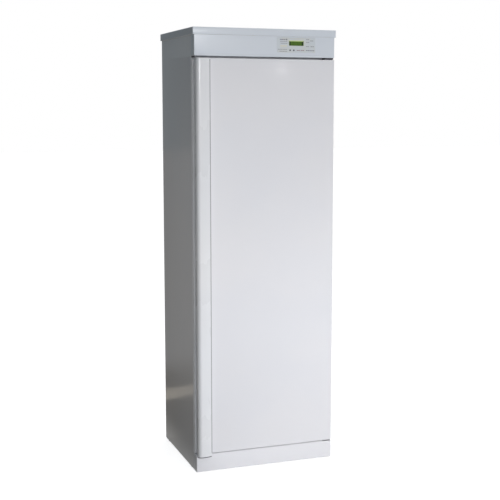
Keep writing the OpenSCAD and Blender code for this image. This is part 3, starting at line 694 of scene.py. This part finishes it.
def side_panels():
    """Each side is one sheet, folded round its front edge, with a plain upper part and a back flange."""
    fold_w, flange_w = 14 * MM, 14 * MM
    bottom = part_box("side_panel_left")[0].z
    flange_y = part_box("back_panel")[0].y
    inner_x = -HALF_W + SHEET
    lower = box("lower_part", (-HALF_W, CASE_Y, bottom), (-HALF_W + fold_w, BACK_Y, FASCIA_Z))
    round_edges(lower, both(lies_at(X, -HALF_W), lies_at(Y, CASE_Y)), FOLD_R, 8)
    delete_faces(lower, lambda face: facing(Y, 1)(face) or facing(X, 1)(face) or abs(face.normal.z) > 0.9)
    thicken(lower, SHEET)
    upper = box("upper_part", (-HALF_W, CASE_Y, FASCIA_Z), (inner_x, BACK_Y, LID_Z))
    back = box("back_flange", (inner_x, flange_y - SHEET, bottom), (inner_x + flange_w, flange_y, LID_Z))
    place_sides(join("side_sheet_left", lower, upper, back), "enamel", SIDE_ENAMEL, "side_panel")


def screw_head(radius, height):
    """A pan head with a cross recess, standing on the origin and looking up."""
    head = rod("screw_head", Z, (0, 0, 0), 0, height, radius, 28)
    round_rim(head, Z, height, height * 0.55, 4)
    depth, width, reach = height * 0.6, radius * 0.13, radius * 0.55
    for x, y in ((reach, width), (width, reach)):
        cut(head, box("slot", (-x, -y, height - depth), (x, y, height + MM)))
    return head


def screws(name, places, facing_to, radius, height):
    """Copies of a screw head at the given places, each turned a little differently."""
    model = screw_head(radius, height)
    turn = Vector(facing_to).to_track_quat("Z", "Y").to_matrix().to_4x4()
    heads = []
    for count, at in enumerate(places):
        spin = Matrix.Rotation(math.radians(37 * count % 90), 4, "Z")
        heads.append(copy_moved(model, Matrix.Translation(at) @ turn @ spin))
    bpy.data.objects.remove(model)
    return join(name, *heads)


def ring(at, radius, z):
    """Four places round an upright axis, each halfway between X and Y."""
    angles = [math.radians(45 + 90 * k) for k in range(4)]
    return [Vector((at.x + radius * math.cos(angle), at.y + radius * math.sin(angle), z)) for angle in angles]


def case_screws():
    """Two rows of screws up the back, with their shanks."""
    low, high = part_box("case_screws")
    radius, head_h, count = 3.8 * MM, 2.2 * MM, 7
    back = high.y - head_h
    step = (high.z - low.z - 2 * radius) / (count - 1)
    places = [Vector((x, back, low.z + radius + k * step))
              for x in (low.x + radius, high.x - radius) for k in range(count)]
    heads = screws("case_screw_heads", places, (0, 1, 0), radius, head_h)
    shanks = [rod("shank", Y, at, low.y, back + 0.2 * MM, 1.9 * MM, 16) for at in places]
    place(join("case_screw_heads", heads, *shanks), "steel", STEEL, "case_screws")


def back_panel():
    """The back sheet, with a hood over each louvre slot and four pressed beads."""
    back_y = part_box("back_panel")[1].y
    sunk = back_y - 0.2 * MM
    slot_z, slot_step = LID_Z - 100 * MM, 12 * MM
    bead_y = back_y + 1.4 * MM
    parts = [node_copy("back_panel", "back_sheet")]
    hood = box("hood", (-42 * MM, sunk, -1.5 * MM), (42 * MM, back_y + 2 * MM, 6 * MM))
    for x in (-110 * MM, 110 * MM):
        for k in range(5):
            parts.append(copy_moved(hood, Matrix.Translation((x, 0, slot_z + k * slot_step))))
    bpy.data.objects.remove(hood)
    for z in (0.35, 0.75, 1.15, 1.5):
        bead = box("bead", (-0.21, sunk, z - 5 * MM), (0.21, bead_y, z + 5 * MM))
        round_rim(bead, Y, bead_y, 1.3 * MM, 4)
        parts.append(bead)
    place(join("back_sheet", *parts), "zinc_sheet", ZINC, "back_panel")


def feet():
    """Each levelling foot: a disc with a sunk top, a hexagon nut and a stem."""
    disc_h, nut_z, nut_top = 8 * MM, 7 * MM, 10.4 * MM
    for side in ("front_left", "front_right", "back_left", "back_right"):
        node = "foot_" + side
        low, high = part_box(node)
        at = (low + high) / 2
        disc = rod("disc", Z, at, 0, disc_h, (high.x - low.x) / 2, 60)
        round_rim(disc, Z, disc_h, 2.4 * MM, 4)
        round_rim(disc, Z, 0, 0.6 * MM, 2)
        inset_faces(disc, lies_at(Z, disc_h), (3 * MM, 0), (1.5 * MM, -0.8 * MM))
        nut = rod("nut", Z, at, nut_z, nut_top, 8 * MM, 6)
        round_rim(nut, Z, nut_top, 0.7 * MM, 2)
        stem = rod("stem", Z, at, nut_z, high.z, 5 * MM, 24)
        place(join("levelling_" + node, disc, nut, stem), "foot_plastic", FOOT_PLASTIC, node,
              body=side + "_foot")


def duct_collar():
    """The exhaust collar: flange, spout with a bead near its rim, and four flange screws."""
    low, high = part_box("exhaust_collar")
    radius, wall, bead_r, reach = 50 * MM, 1.2 * MM, 0.9 * MM, 5 * MM
    flange_r, flange_z = (high.x - low.x) / 2, low.z + 1.2 * MM
    piece = rod("duct_collar", Z, DUCT, low.z, flange_z, flange_r, 96)
    inset_faces(piece, facing(Z, 1), (flange_r - radius, 0))
    extrude(0, 0, high.z - flange_z)
    inset((wall, 0))
    extrude(0, 0, low.z - high.z + 0.1 * MM)
    cut(piece, rod("bore", Z, DUCT, low.z - reach, high.z + reach, radius - wall - 0.02 * MM, 96))
    soften(piece, 0.35 * MM, 2)
    rest()
    bpy.ops.mesh.primitive_torus_add(
        major_radius=radius - 0.1 * MM, minor_radius=bead_r, major_segments=96, minor_segments=10,
        location=(DUCT.x, DUCT.y, high.z - 5 * MM))
    bead = settle("bead")
    heads = screws("collar_screws", ring(DUCT, 57 * MM, flange_z), (0, 0, 1), 3 * MM, 1.8 * MM)
    place(heads, "steel", STEEL)
    place(join("duct_collar", piece, bead), "zinc_sheet", ZINC, "exhaust_collar")


def gland():
    """The cable gland: a hexagon nut on the lid, a ribbed dome nut on it and a nut under the lid."""
    low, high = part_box("cable_gland")
    nut_h = 5 * MM
    dome_z = LID_TOP + nut_h
    parts = []
    for z in (LID_TOP, low.z):
        nut = rod("nut", Z, GLAND, z, z + nut_h, 14 * MM, 6)
        round_edges(nut, both(runs_along(Z), is_sharp), 0.8 * MM, 3)
        round_rim(nut, Z, z + nut_h, 0.6 * MM, 2)
        parts.append(nut)
    dome = rod("dome", Z, GLAND, dome_z, high.z, 10.5 * MM, 24)
    round_rim(dome, Z, high.z, 3.2 * MM, 5)
    choose(dome, "FACE", lambda face: abs(face.normal.z) < 0.1)
    bpy.ops.mesh.inset(thickness=0.5 * MM, depth=-0.35 * MM, use_individual=True)
    parts += [dome, rod("stem", Z, GLAND, low.z, dome_z, 9.5 * MM, 32)]
    piece = join("cable_gland_body", *parts)
    cut(piece, rod("bore", Z, GLAND, low.z - MM, high.z + MM, 4.5 * MM, 32))
    place(piece, "black_plastic", BLACK_PLASTIC, "cable_gland")


# ---------- control panel ----------

def plate(name, low, high, corner_r, edge_r=0):
    """A thin plate on the fascia with round corners and, where asked for, softened front edges."""
    piece = box(name, low, high)
    round_edges(piece, runs_along(Y), corner_r, 5)
    if edge_r:
        round_rim(piece, Y, low[Y], edge_r, 3)
    return piece


def control_panel():
    """Overlay film, display glass, both keys and the printed marks."""
    low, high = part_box("panel_overlay")
    front, back = low.y - MM, high.y + MM
    film = plate("printed_overlay", low, high, 2.5 * MM, 0.35 * MM)
    window = plate("window", (WINDOW[0].x, front, WINDOW[0].z), (WINDOW[1].x, back, WINDOW[1].z), 0.8 * MM)
    cut(film, window, *key_holes(front, back))
    place(film, "overlay_film", FILM, "panel_overlay")

    glass = plate("display_glass", *WINDOW, 0.75 * MM, 0.15 * MM)
    inset_faces(glass, lies_at(Y, WINDOW[0].y), (0.9 * MM, 0), (0.25 * MM, -0.3 * MM))
    place(glass, "display", DISPLAY, "lcd_window")

    flange_y = FRONT_Y + SHEET + 0.3 * MM
    for side, key in zip(("left", "right"), KEYS):
        front, back = (corner.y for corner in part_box("key_" + side))
        cap = rod("cap", Y, key, front, back, 3.3 * MM, 40)
        round_rim(cap, Y, front, 0.7 * MM, 4)
        inset_faces(cap, lies_at(Y, front), (0.8 * MM, 0), (0.5 * MM, -0.25 * MM))
        flange = rod("flange", Y, key, flange_y, flange_y + MM, 4.6 * MM, 40)
        place(join("key_cap_" + side, cap, flange), "key_plastic", KEY_PLASTIC, "key_" + side,
              body=side + "_key")
    printed_marks(low.y)


# Marks by ink: a row is its left and right end, height above the floor, thickness and bars, in mm
MARKS = {
    "dark": (linear(92, 92, 104), [
        (60, 84, 1768, 3, 3), (86.5, 91.5, 1768.5, 5.5, 1), (174, 210, 1726, 2.6, 5)]),
    "grey": (linear(130, 131, 139), [
        (61, 91, 1760.3, 2.2, 4), (63, 91, 1753.2, 2.2, 4), (51, 91, 1729, 2.2, 6), (58, 91, 1721.4, 2.4, 5),
        (174, 187, 1770, 2.8, 2), (192, 205, 1765, 2.8, 2), (174, 187, 1759, 2.8, 2),
        (174, 186, 1742, 2.8, 2), (193, 209, 1742, 2.8, 2)]),
    "brown": (linear(132, 112, 114), [(133, 147, 1726, 3, 2), (150, 165, 1726, 3, 2)]),
    "beige": (linear(196, 196, 186), [(61, 91, 1743, 7, 1)]),
    "pale": (linear(214, 214, 200), []),
}


def printed_marks(film_y):
    """Plain bars of ink, a hair thick, where such a panel has its legends, and the display's pale border."""
    thick, joint, lip = 0.06 * MM, 1.1, 1.6 * MM
    for name, (colour, rows) in MARKS.items():
        bars = []
        for left, right, z, height, count in rows:
            width = (right - left - joint * (count - 1)) / count
            for k in range(count):
                x = left + k * (width + joint)
                low = (x * MM, film_y - thick, (z - height / 2) * MM)
                high = ((x + width) * MM, film_y, (z + height / 2) * MM)
                bars.append(plate("bar", low, high, 0.4 * MM))
        if name == "pale":
            reach, edge = Vector((0, MM, 0)), Vector((lip, 0, lip))
            low, high = WINDOW[0] - edge, WINDOW[1] + edge
            border = plate("bar", (low.x, film_y - thick, low.z), (high.x, film_y, high.z), 1.5 * MM)
            bars.append(cut(border, box("window", WINDOW[0] - reach, WINDOW[1] + reach)))
        place(join("print_" + name, *bars), "overlay_film", ink("ink_" + name, colour))


# ---------- door ----------

def door_panel():
    """The door's folded steel face, stepped in under the handle and open at its back."""
    step_y = HANDLE_HIGH.y
    reach = 3 * MM

    def is_bend(edge):
        at = middle(edge)
        return is_sharp(edge) and at.y < CASE_Y - 8 * MM and at.x > DOOR_X0 + MM

    piece = box("door_sheet", (DOOR_X0, FRONT_Y, DOOR_Z0), (HALF_W, DOOR_BACK_Y, DOOR_Z1))
    round_edges(piece, both(lies_at(X, HALF_W), lies_at(Y, FRONT_Y)), EDGE_R, 8)
    for level in (DOOR_Z0, DOOR_Z1):
        round_edges(piece, both(lies_at(Z, level), is_bend), BEND_R, 3)
    slice_at(piece, Y, step_y)
    push_faces(piece, both(facing(X, -1), lambda face: middle(face).y > step_y), CORE_X0 - DOOR_X0, 0, 0)
    delete_faces(piece, lies_at(Y, DOOR_BACK_Y))
    thicken(piece, SHEET)
    cut(piece, *[rod("hole", Z, PIN, level - reach, level + reach, 7.05 * MM, 32)
                 for level in (DOOR_Z0, DOOR_Z1)])
    place(piece, "enamel", ENAMEL, "door_skin", body="door")


def press_field(piece, reach, bottom, top, rise):
    """Moves the back faces within an upright rectangle out or in, and rounds its four corners."""
    def inside(face):
        at = middle(face)
        return face.normal.y > 0.9 and abs(at.x) < reach and bottom < at.z < top

    def at_corner(edge):
        at = middle(edge)
        return (is_sharp(edge) and abs(abs(at.x) - reach) < CLOSE
                and min(abs(at.z - top), abs(at.z - bottom)) < CLOSE)

    push_faces(piece, inside, 0, rise, 0)
    round_edges(piece, both(runs_along(Y), at_corner), 14 * MM, 6)


def door_inner():
    """The inner sheet: a pressed field with soft edges, and a second shallow field framed by it."""
    low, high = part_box("door_liner")
    edge_x, bottom, top = OPEN_X - 14 * MM, CHAMBER_Z0 + 14 * MM, CHAMBER_Z1 - 14 * MM
    # Each field: how far it lies inside the outermost one, and how far it rises
    fields = ((0, high.y - DOOR_BACK_Y), (34 * MM, 2.5 * MM), (120 * MM, -2 * MM))
    piece = box("door_inner_sheet", low, (high.x, DOOR_BACK_Y, high.z))
    for inwards, _ in fields:
        for x in (-edge_x + inwards, edge_x - inwards):
            slice_at(piece, X, x)
        for z in (bottom + inwards, top - inwards):
            slice_at(piece, Z, z)
    for inwards, rise in fields:
        press_field(piece, edge_x - inwards, bottom + inwards, top - inwards, rise)
    soften(piece, 1.2 * MM, 3, 40)
    place(piece, "lining", LINING_ENAMEL, "door_liner", body="door", smooth=50)


def gasket():
    """The magnetic seal: a flat foot, a groove and a round lip, mitred at the corners."""
    low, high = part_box("door_seal")
    at, size = (low + high) / 2, high - low
    piece = sheet("door_gasket", (at.x, low.y, at.z), (size.x, size.z), -math.pi / 2)
    inset_faces(piece, anything, (12 * MM, 0))
    bpy.ops.mesh.delete(type="FACE")
    choose(piece, "FACE", anything)
    extrude(0, size.y * 0.45, 0)
    inset((1.6 * MM, 0), (1 * MM, -1.2 * MM), (0.7 * MM, 1.2 * MM))
    extrude(0, size.y * 0.55, 0)
    bpy.ops.mesh.select_all(action="SELECT")
    bpy.ops.mesh.normals_make_consistent(inside=False)
    soften(piece, 0.55 * MM, 3)
    place(piece, "seal_rubber", SEAL_RUBBER, "door_seal", body="door")


def handle():
    """The full-height handle: a crown with one round corner and a faint curve, and the wall behind it."""
    set_in = 3 * MM
    left, right = HANDLE_LOW.x + set_in, HANDLE_HIGH.x
    crown_y = HANDLE_LOW.y
    corner_r, drop_right = 16 * MM, 6 * MM
    back = FRONT_Y + 2 * MM
    seam = FRONT_Y - 0.6 * MM
    run = right - left - corner_r
    face_r = (run * run + drop_right * drop_right) / (2 * drop_right)
    turn = math.degrees(math.asin(run / face_r))
    corner = (left + corner_r, crown_y + corner_r)
    z0, z1 = HANDLE_LOW.z, HANDLE_HIGH.z

    def crown(name, z, back_y, *steps):
        return outline(name, (left, back_y), z, [
            (left, corner[1]), (*corner, 90), (corner[0], crown_y + face_r, turn), *steps, (left, back_y)])

    def right_edge(edge):
        return middle(edge).x > right - CLOSE and middle(edge).y < FRONT_Y - 8 * MM

    profile = crown("crown", (z0, z1), seam, (right, seam))
    round_edges(profile, both(runs_along(Z), right_edge), 1.2 * MM, 4)
    wall_y = HANDLE_HIGH.y
    wall = outline("wall", (left, seam), (DOOR_Z0, z1), [
        (left, wall_y), (CORE_X0, wall_y), (CORE_X0, back), (right, back), (right, seam), (left, seam)])
    round_edges(wall, both(lies_at(X, left), lies_at(Y, wall_y)), 1.5 * MM, 4)
    place(join("handle_bar", profile, wall), "handle_enamel", HANDLE_ENAMEL, "handle_profile", body="door")

    strip_low, strip_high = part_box("edge_strip")
    strip = box("edge_bar", strip_low, strip_high)
    round_edges(strip, both(runs_along(Z), lies_at(X, strip_low.x)), EDGE_R, 6)
    place(strip, "handle_enamel", HANDLE_ENAMEL, "edge_strip", body="door")

    foot_z = z0 - 4 * MM
    top = crown("top_cap", (z1, DOOR_Z1), DOOR_BACK_Y, (right, back), (CORE_X0, back), (CORE_X0, DOOR_BACK_Y))
    foot = crown("low_cap", (foot_z, z0), seam, (right, seam))
    for cap, level in ((top, DOOR_Z1), (foot, foot_z)):
        round_rim(cap, Z, level, 1.3 * MM, 3)
    # The low cap's dark colour is painted shade under the crown's rim.
    place(join("handle_end_caps", top, foot), "handle_enamel", CAP_ENAMEL_PAINTED_SHADE, "handle_caps", body="door")

    # A grey strip on the door along the handle's right edge: painted shade, for the contact shadow along that
    # edge.
    seam_shade_y = FRONT_Y - 0.45 * MM
    lip = box("handle_seam_painted_shade", (right - MM, seam_shade_y, DOOR_Z0 + 1.5 * MM),
              (right + 6.5 * MM, FRONT_Y + 0.05 * MM, z1 - MM))
    round_edges(lip, both(runs_along(Z), lies_at(Y, seam_shade_y)), 0.3 * MM, 3)
    place(lip, "seal_rubber", SEAM_SHADE_STRIP, body="door")


def hinge_gap():
    """The shim beside the upper hinge, both pins' washers, and a dark block in the gap's other corner,
    painted shade for the shadow there.
    """
    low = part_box("hinge_top")[0]
    gap_top = FASCIA_Z - 0.1 * MM
    shim = box("shim", (low.x, low.y + MM, DOOR_Z1 + 5 * MM), (HALF_W - SHEET, CASE_Y, gap_top))
    soften(shim, 0.5 * MM, 2)
    washers = [rod("washer", Z, (290 * MM, PIN.y, 0), z, z + 0.9 * MM, 7 * MM, 32)
               for z in (DOOR_Z1 + 1.05 * MM, DOOR_Z0 - MM)]
    place(join("hinge_shim_and_washers", shim, *washers), "black_plastic", BLACK_PLASTIC)

    # A dark block in the gap's left corner: painted shade where the gap lies in shadow.
    gap_shade_block = box("corner_painted_shade", (-HALF_W + 0.6 * MM, CASE_Y - 1.5 * MM, DOOR_Z1 + 1.2 * MM),
              (-HALF_W + 14 * MM, CASE_Y, gap_top))
    place(soften(gap_shade_block, 0.4 * MM, 2), "seal_rubber", GAP_SHADE_FINISH)


# ---------- chamber ----------

def wall_linings():
    """The side linings, each stiffened by pressed beads that stand into the chamber."""
    low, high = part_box("liner_left")
    face_x, bead_x = -OPEN_X, -OPEN_X + 1.6 * MM
    bead_h, margin = 9 * MM, 40 * MM
    levels = [0.15, 0.46, 0.91, 1.36]
    left = box("wall_lining_left", low, high)
    for y in (low.y + margin, high.y - margin):
        slice_at(left, Y, y)
    for z in levels:
        slice_at(left, Z, z - bead_h)
        slice_at(left, Z, z + bead_h)

    def on_bead(part):
        at = middle(part)
        return (low.y + margin < at.y < high.y - margin
                and any(abs(at.z - z) < bead_h / 2 for z in levels))

    push_faces(left, both(lies_at(X, face_x), on_bead), bead_x - face_x, 0, 0)
    round_rim(left, X, bead_x, 1.4 * MM, 4)
    rest()
    place_sides(left, "lining", LINING_ENAMEL, "liner")


def grille_screws():
    """Four screws round each of the ceiling's grilles."""
    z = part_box("ceiling_grilles")[0].z
    places = ring(middle_of("fan_motor"), 65 * MM, z) + ring(DUCT, 53.8 * MM, z)
    heads = screws("grille_screws", places, (0, 0, -1), 2.6 * MM, 1.4 * MM)
    place(heads, "steel", STEEL)


def drip_tray():
    """The tray on the chamber's floor, drawn with soft corners and a turned rim."""
    low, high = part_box("drip_tray")
    size = high - low
    rim = 4 * MM
    piece = box("melt_water_tray", low, high)
    round_edges(piece, runs_along(Z), 14 * MM, 6)
    round_rim(piece, Z, low.z, 5 * MM, 4)
    delete_faces(piece, lies_at(Z, high.z))
    choose(piece, "EDGE", lies_at(Z, high.z))
    bpy.ops.mesh.extrude_edges_move(TRANSFORM_OT_translate={"value": (0, 0, 0)})
    bpy.ops.transform.resize(value=(1 + 2 * rim / size.x, 1 + 2 * rim / size.y, 1))
    thicken(piece, MM)
    place(piece, "zinc_sheet", ZINC, "drip_tray")


def rack(node, name, body, count):
    """Pivot rod, two side rods and cross rods, each with rounded ends."""
    low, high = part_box(node)
    pivot_r = (high.z - low.z) / 2
    arm_r, cross_r = pivot_r - 0.5 * MM, pivot_r - 1.2 * MM
    z = (low.z + high.z) / 2
    pivot_y = high.y - pivot_r
    reach = pivot_y - low.y - arm_r
    arm_x = OPEN_X - 22 * MM
    rods = [rod("pivot", X, (0, pivot_y, z), low.x, high.x, pivot_r, 28)]
    rods += [rod("arm", Y, (x, 0, z), low.y, pivot_y, arm_r, 28) for x in (-arm_x, arm_x)]
    for k in range(count):
        y = pivot_y - (k + 1) * reach / count
        rods.append(rod("cross", X, (0, y, z), -arm_x, arm_x, cross_r, 24))
    for piece in rods:
        soften(piece, 1.6 * MM, 3, 60)
    place(join(name, *rods), "rack_coating", RACK_COATING, node, body=body, smooth=50)


def racks():
    rack("hanger_rack_upper", "upper_hanging_rods", "cabinet", 4)
    rack("hanger_rack_middle", "middle_hanging_rods", "middle_rack", 4)
    rack("hanger_rack_lower", "lower_hanging_rods", "lower_rack", 4)
    rack("shoe_rack", "shoe_rods", "tilting_shoe_rack", 8)


# CAD shapes of the cabinet that need softer edges: node, piece, radius in mm, steps, slot and finish
SOFTENED = [
    ("base_rails", "base_rail_tubes", 0.8, 3, "zinc_sheet", ZINC),
    ("hinge_top", "hinge_plate_top", 0.5, 2, "steel", DARK_STEEL),
    ("hinge_bottom", "hinge_plate_bottom", 0.5, 2, "steel", DARK_STEEL),
    ("ceiling_grilles", "round_grilles", 0.5, 2, "zinc_sheet", ZINC),
    ("rack_supports", "rack_brackets", 1.2, 3, "zinc_sheet", ZINC),
    *((f"frame_{part}", f"frame_{part}_channel", 0.35, 2, "enamel", ENAMEL)
      for part in ("head", "sill", "stiles")),
]


def softened_nodes():
    for node, name, radius, steps, slot, finish in SOFTENED:
        place(soften(node_copy(node, name), radius * MM, steps), slot, finish, node)


# ---------- studio ----------

CAMERA_AT = Vector((-1.475, -4.297, 1.504))
YAW, PITCH, ROLL = -20.39, -6.68, 2.38
FOCAL_PX, FRAME_PX = 1059.9, 500
CENTRE_PX = (270.7, 237.3)


def camera():
    """The camera stands where the photograph was taken from."""
    lens = bpy.data.cameras.new("camera")
    eye = bpy.data.objects.new("camera", lens)
    bpy.context.collection.objects.link(eye)
    turn = (Matrix.Rotation(math.radians(ROLL), 3, "Y") @ Matrix.Rotation(math.radians(PITCH), 3, "X")
            @ Matrix.Rotation(math.radians(YAW), 3, "Z"))
    right, ahead, up = turn.col
    axes = Matrix((right, up, -ahead)).transposed()
    eye.matrix_world = Matrix.Translation(CAMERA_AT) @ axes.to_4x4()
    lens.sensor_width = 36
    lens.lens = FOCAL_PX / FRAME_PX * lens.sensor_width
    lens.shift_x = (FRAME_PX / 2 - CENTRE_PX[0]) / FRAME_PX
    lens.shift_y = (CENTRE_PX[1] - FRAME_PX / 2) / FRAME_PX
    lens.clip_start, lens.clip_end = 0.05, 100
    bpy.context.scene.camera = eye


def camera_rays(tree):
    """1 for rays from the camera."""
    return tree.node("LightPath", {}, "Is Camera Ray")


def seen_directly(tree):
    """1 for rays from the camera, or by way of metal or glass."""
    gloss, through = (tree.node("LightPath", {}, name)
                      for name in ("Is Glossy Ray", "Is Transmission Ray"))
    return tree.math("MINIMUM", camera_rays(tree) + gloss + through, 1)


def backdrop():
    """White as the camera sees it; soft light from the front, dimmer from the left."""
    scene = bpy.context.scene
    scene.view_settings.view_transform = "Standard"
    world = bpy.data.worlds.new("studio")
    scene.world = world
    tree = Tree(world)
    direction = tree.node("TexCoord", {}, "Generated")

    def towards(x, y, z):
        """How far a ray's direction points one way, from -1 to 1."""
        way = tuple(Vector((x, y, z)).normalized())
        return tree.node("VectorMath", {0: direction, 1: way}, "Value", operation="DOT_PRODUCT")

    front = tree.step(towards(0.15, -1, -0.2), 0, 0.95)
    left = tree.step(towards(-1, 0.15, 0), -0.2, 0.6)
    camera_ray = camera_rays(tree)
    seen = seen_directly(tree)
    soft = 0.41 + front * 0.36 - left * 0.35
    mirrored = 1 - left * 0.88
    level = camera_ray + (1 - camera_ray) * (seen * mirrored + (1 - seen) * soft)
    background = tree.nodes["Background"].inputs
    tree.put(background["Color"], tree.mix((1 - camera_ray) * left, (1, 1, 1), (0.78, 0.92, 1)))
    tree.put(background["Strength"], level)


def pale_floor():
    """A floor that keeps the shadow, and that metal and gloss mirror as a darker room to the left."""
    rest()
    bpy.ops.mesh.primitive_plane_add(size=60)
    floor = settle("floor")
    finish = Finish("pale_floor", (0.7, 0.7, 0.7), 0.9)
    dim = finish.step(finish.along(X) * -1, 0.15, 0.45)
    camera_ray = camera_rays(finish)
    behind = finish.along(Y) + (finish.noise(7, 3) - 0.5) * 0.3
    band = finish.step(behind, 0.83, 0.93) * (1 - finish.step(behind, 1, 1.1))
    far = finish.step(behind, 1.12, 1.8)
    mirrored = 0.5 - dim * (0.47 - band * 0.44 - far * 0.19)
    glow = camera_ray * 0.8 + (seen_directly(finish) - camera_ray) * mirrored
    pale = finish.mix(finish.noise(1.5), (0.69, 0.69, 0.69), (0.72, 0.72, 0.72))
    finish.blend((1 - camera_ray) * dim, pale, (0.12, 0.102, 0.078))
    tint = finish.mix((1 - camera_ray) * dim * (1 - far), (1, 1, 1), (1, 0.9, 0.74))
    light = finish.node("Emission", {"Color": tint, "Strength": glow})
    total = finish.node("AddShader", {0: Value(finish, finish.shader.outputs[0]), 1: light})
    finish.put(finish.nodes["Material Output"].inputs["Surface"], total)
    floor.data.materials.append(finish.owner)


# Each lamp: name, place, aim, size, watts, and whether gloss mirrors it and matt surfaces catch it
LAMPS = [
    ("key", (0.7, -2.1, 0.35), (0.15, -0.2, 0.35), (3, 1), 25.5, False, True),
    ("spot", (1.95, -4.3, 2.85), (0, -0.25, 1.5), (0.08, 0.1), 0.8, True, True),
    ("glint", (0.2, -4.4, 1.72), (-0.28, -0.25, 1.6), (0.14, 0.6), 6, True, True),
    ("edge", (-0.85, -0.22, 0.95), (-0.3, -0.15, 0.95), (0.2, 1.7), 0.3, False, True),
    ("corner", (-1.3, -2.7, 0.75), (-0.3, -0.2, 0.75), (0.3, 1.7), 12, False, True),
    ("streak", (-0.25, -4.4, 1.98), (-0.3, -0.25, 1.7), (0.45, 0.65), 36, True, False),
    ("top", (1.2, -2.2, 4.6), (0, -0.2, 1), (2, 2), 6, True, True),
    ("overhead", (0.3, 0.6, 4.2), (0, 0.2, 1), (1.5, 1.5), 38, False, True),
]


def lamps():
    for name, at, aim, size, power, mirrored, lighting in LAMPS:
        light = bpy.data.lights.new(name, "AREA")
        light.shape = "RECTANGLE"
        light.size, light.size_y = size
        light.energy = power
        stand = bpy.data.objects.new(name, light)
        bpy.context.collection.objects.link(stand)
        stand.visible_camera = False
        stand.visible_glossy = mirrored
        stand.visible_diffuse = lighting
        stand.location = at
        stand.rotation_euler = (Vector(aim) - Vector(at)).to_track_quat("-Z", "Y").to_euler()


# ---------- build ----------

def build():
    dress_nodes()
    for part in (top_cover, fascia, plinth, side_panels, case_screws, back_panel, feet, duct_collar, gland,
                 control_panel, door_panel, door_inner, gasket, handle, hinge_gap, wall_linings,
                 grille_screws, drip_tray, racks, softened_nodes):
        part()
    camera()
    backdrop()
    pale_floor()
    lamps()


build()
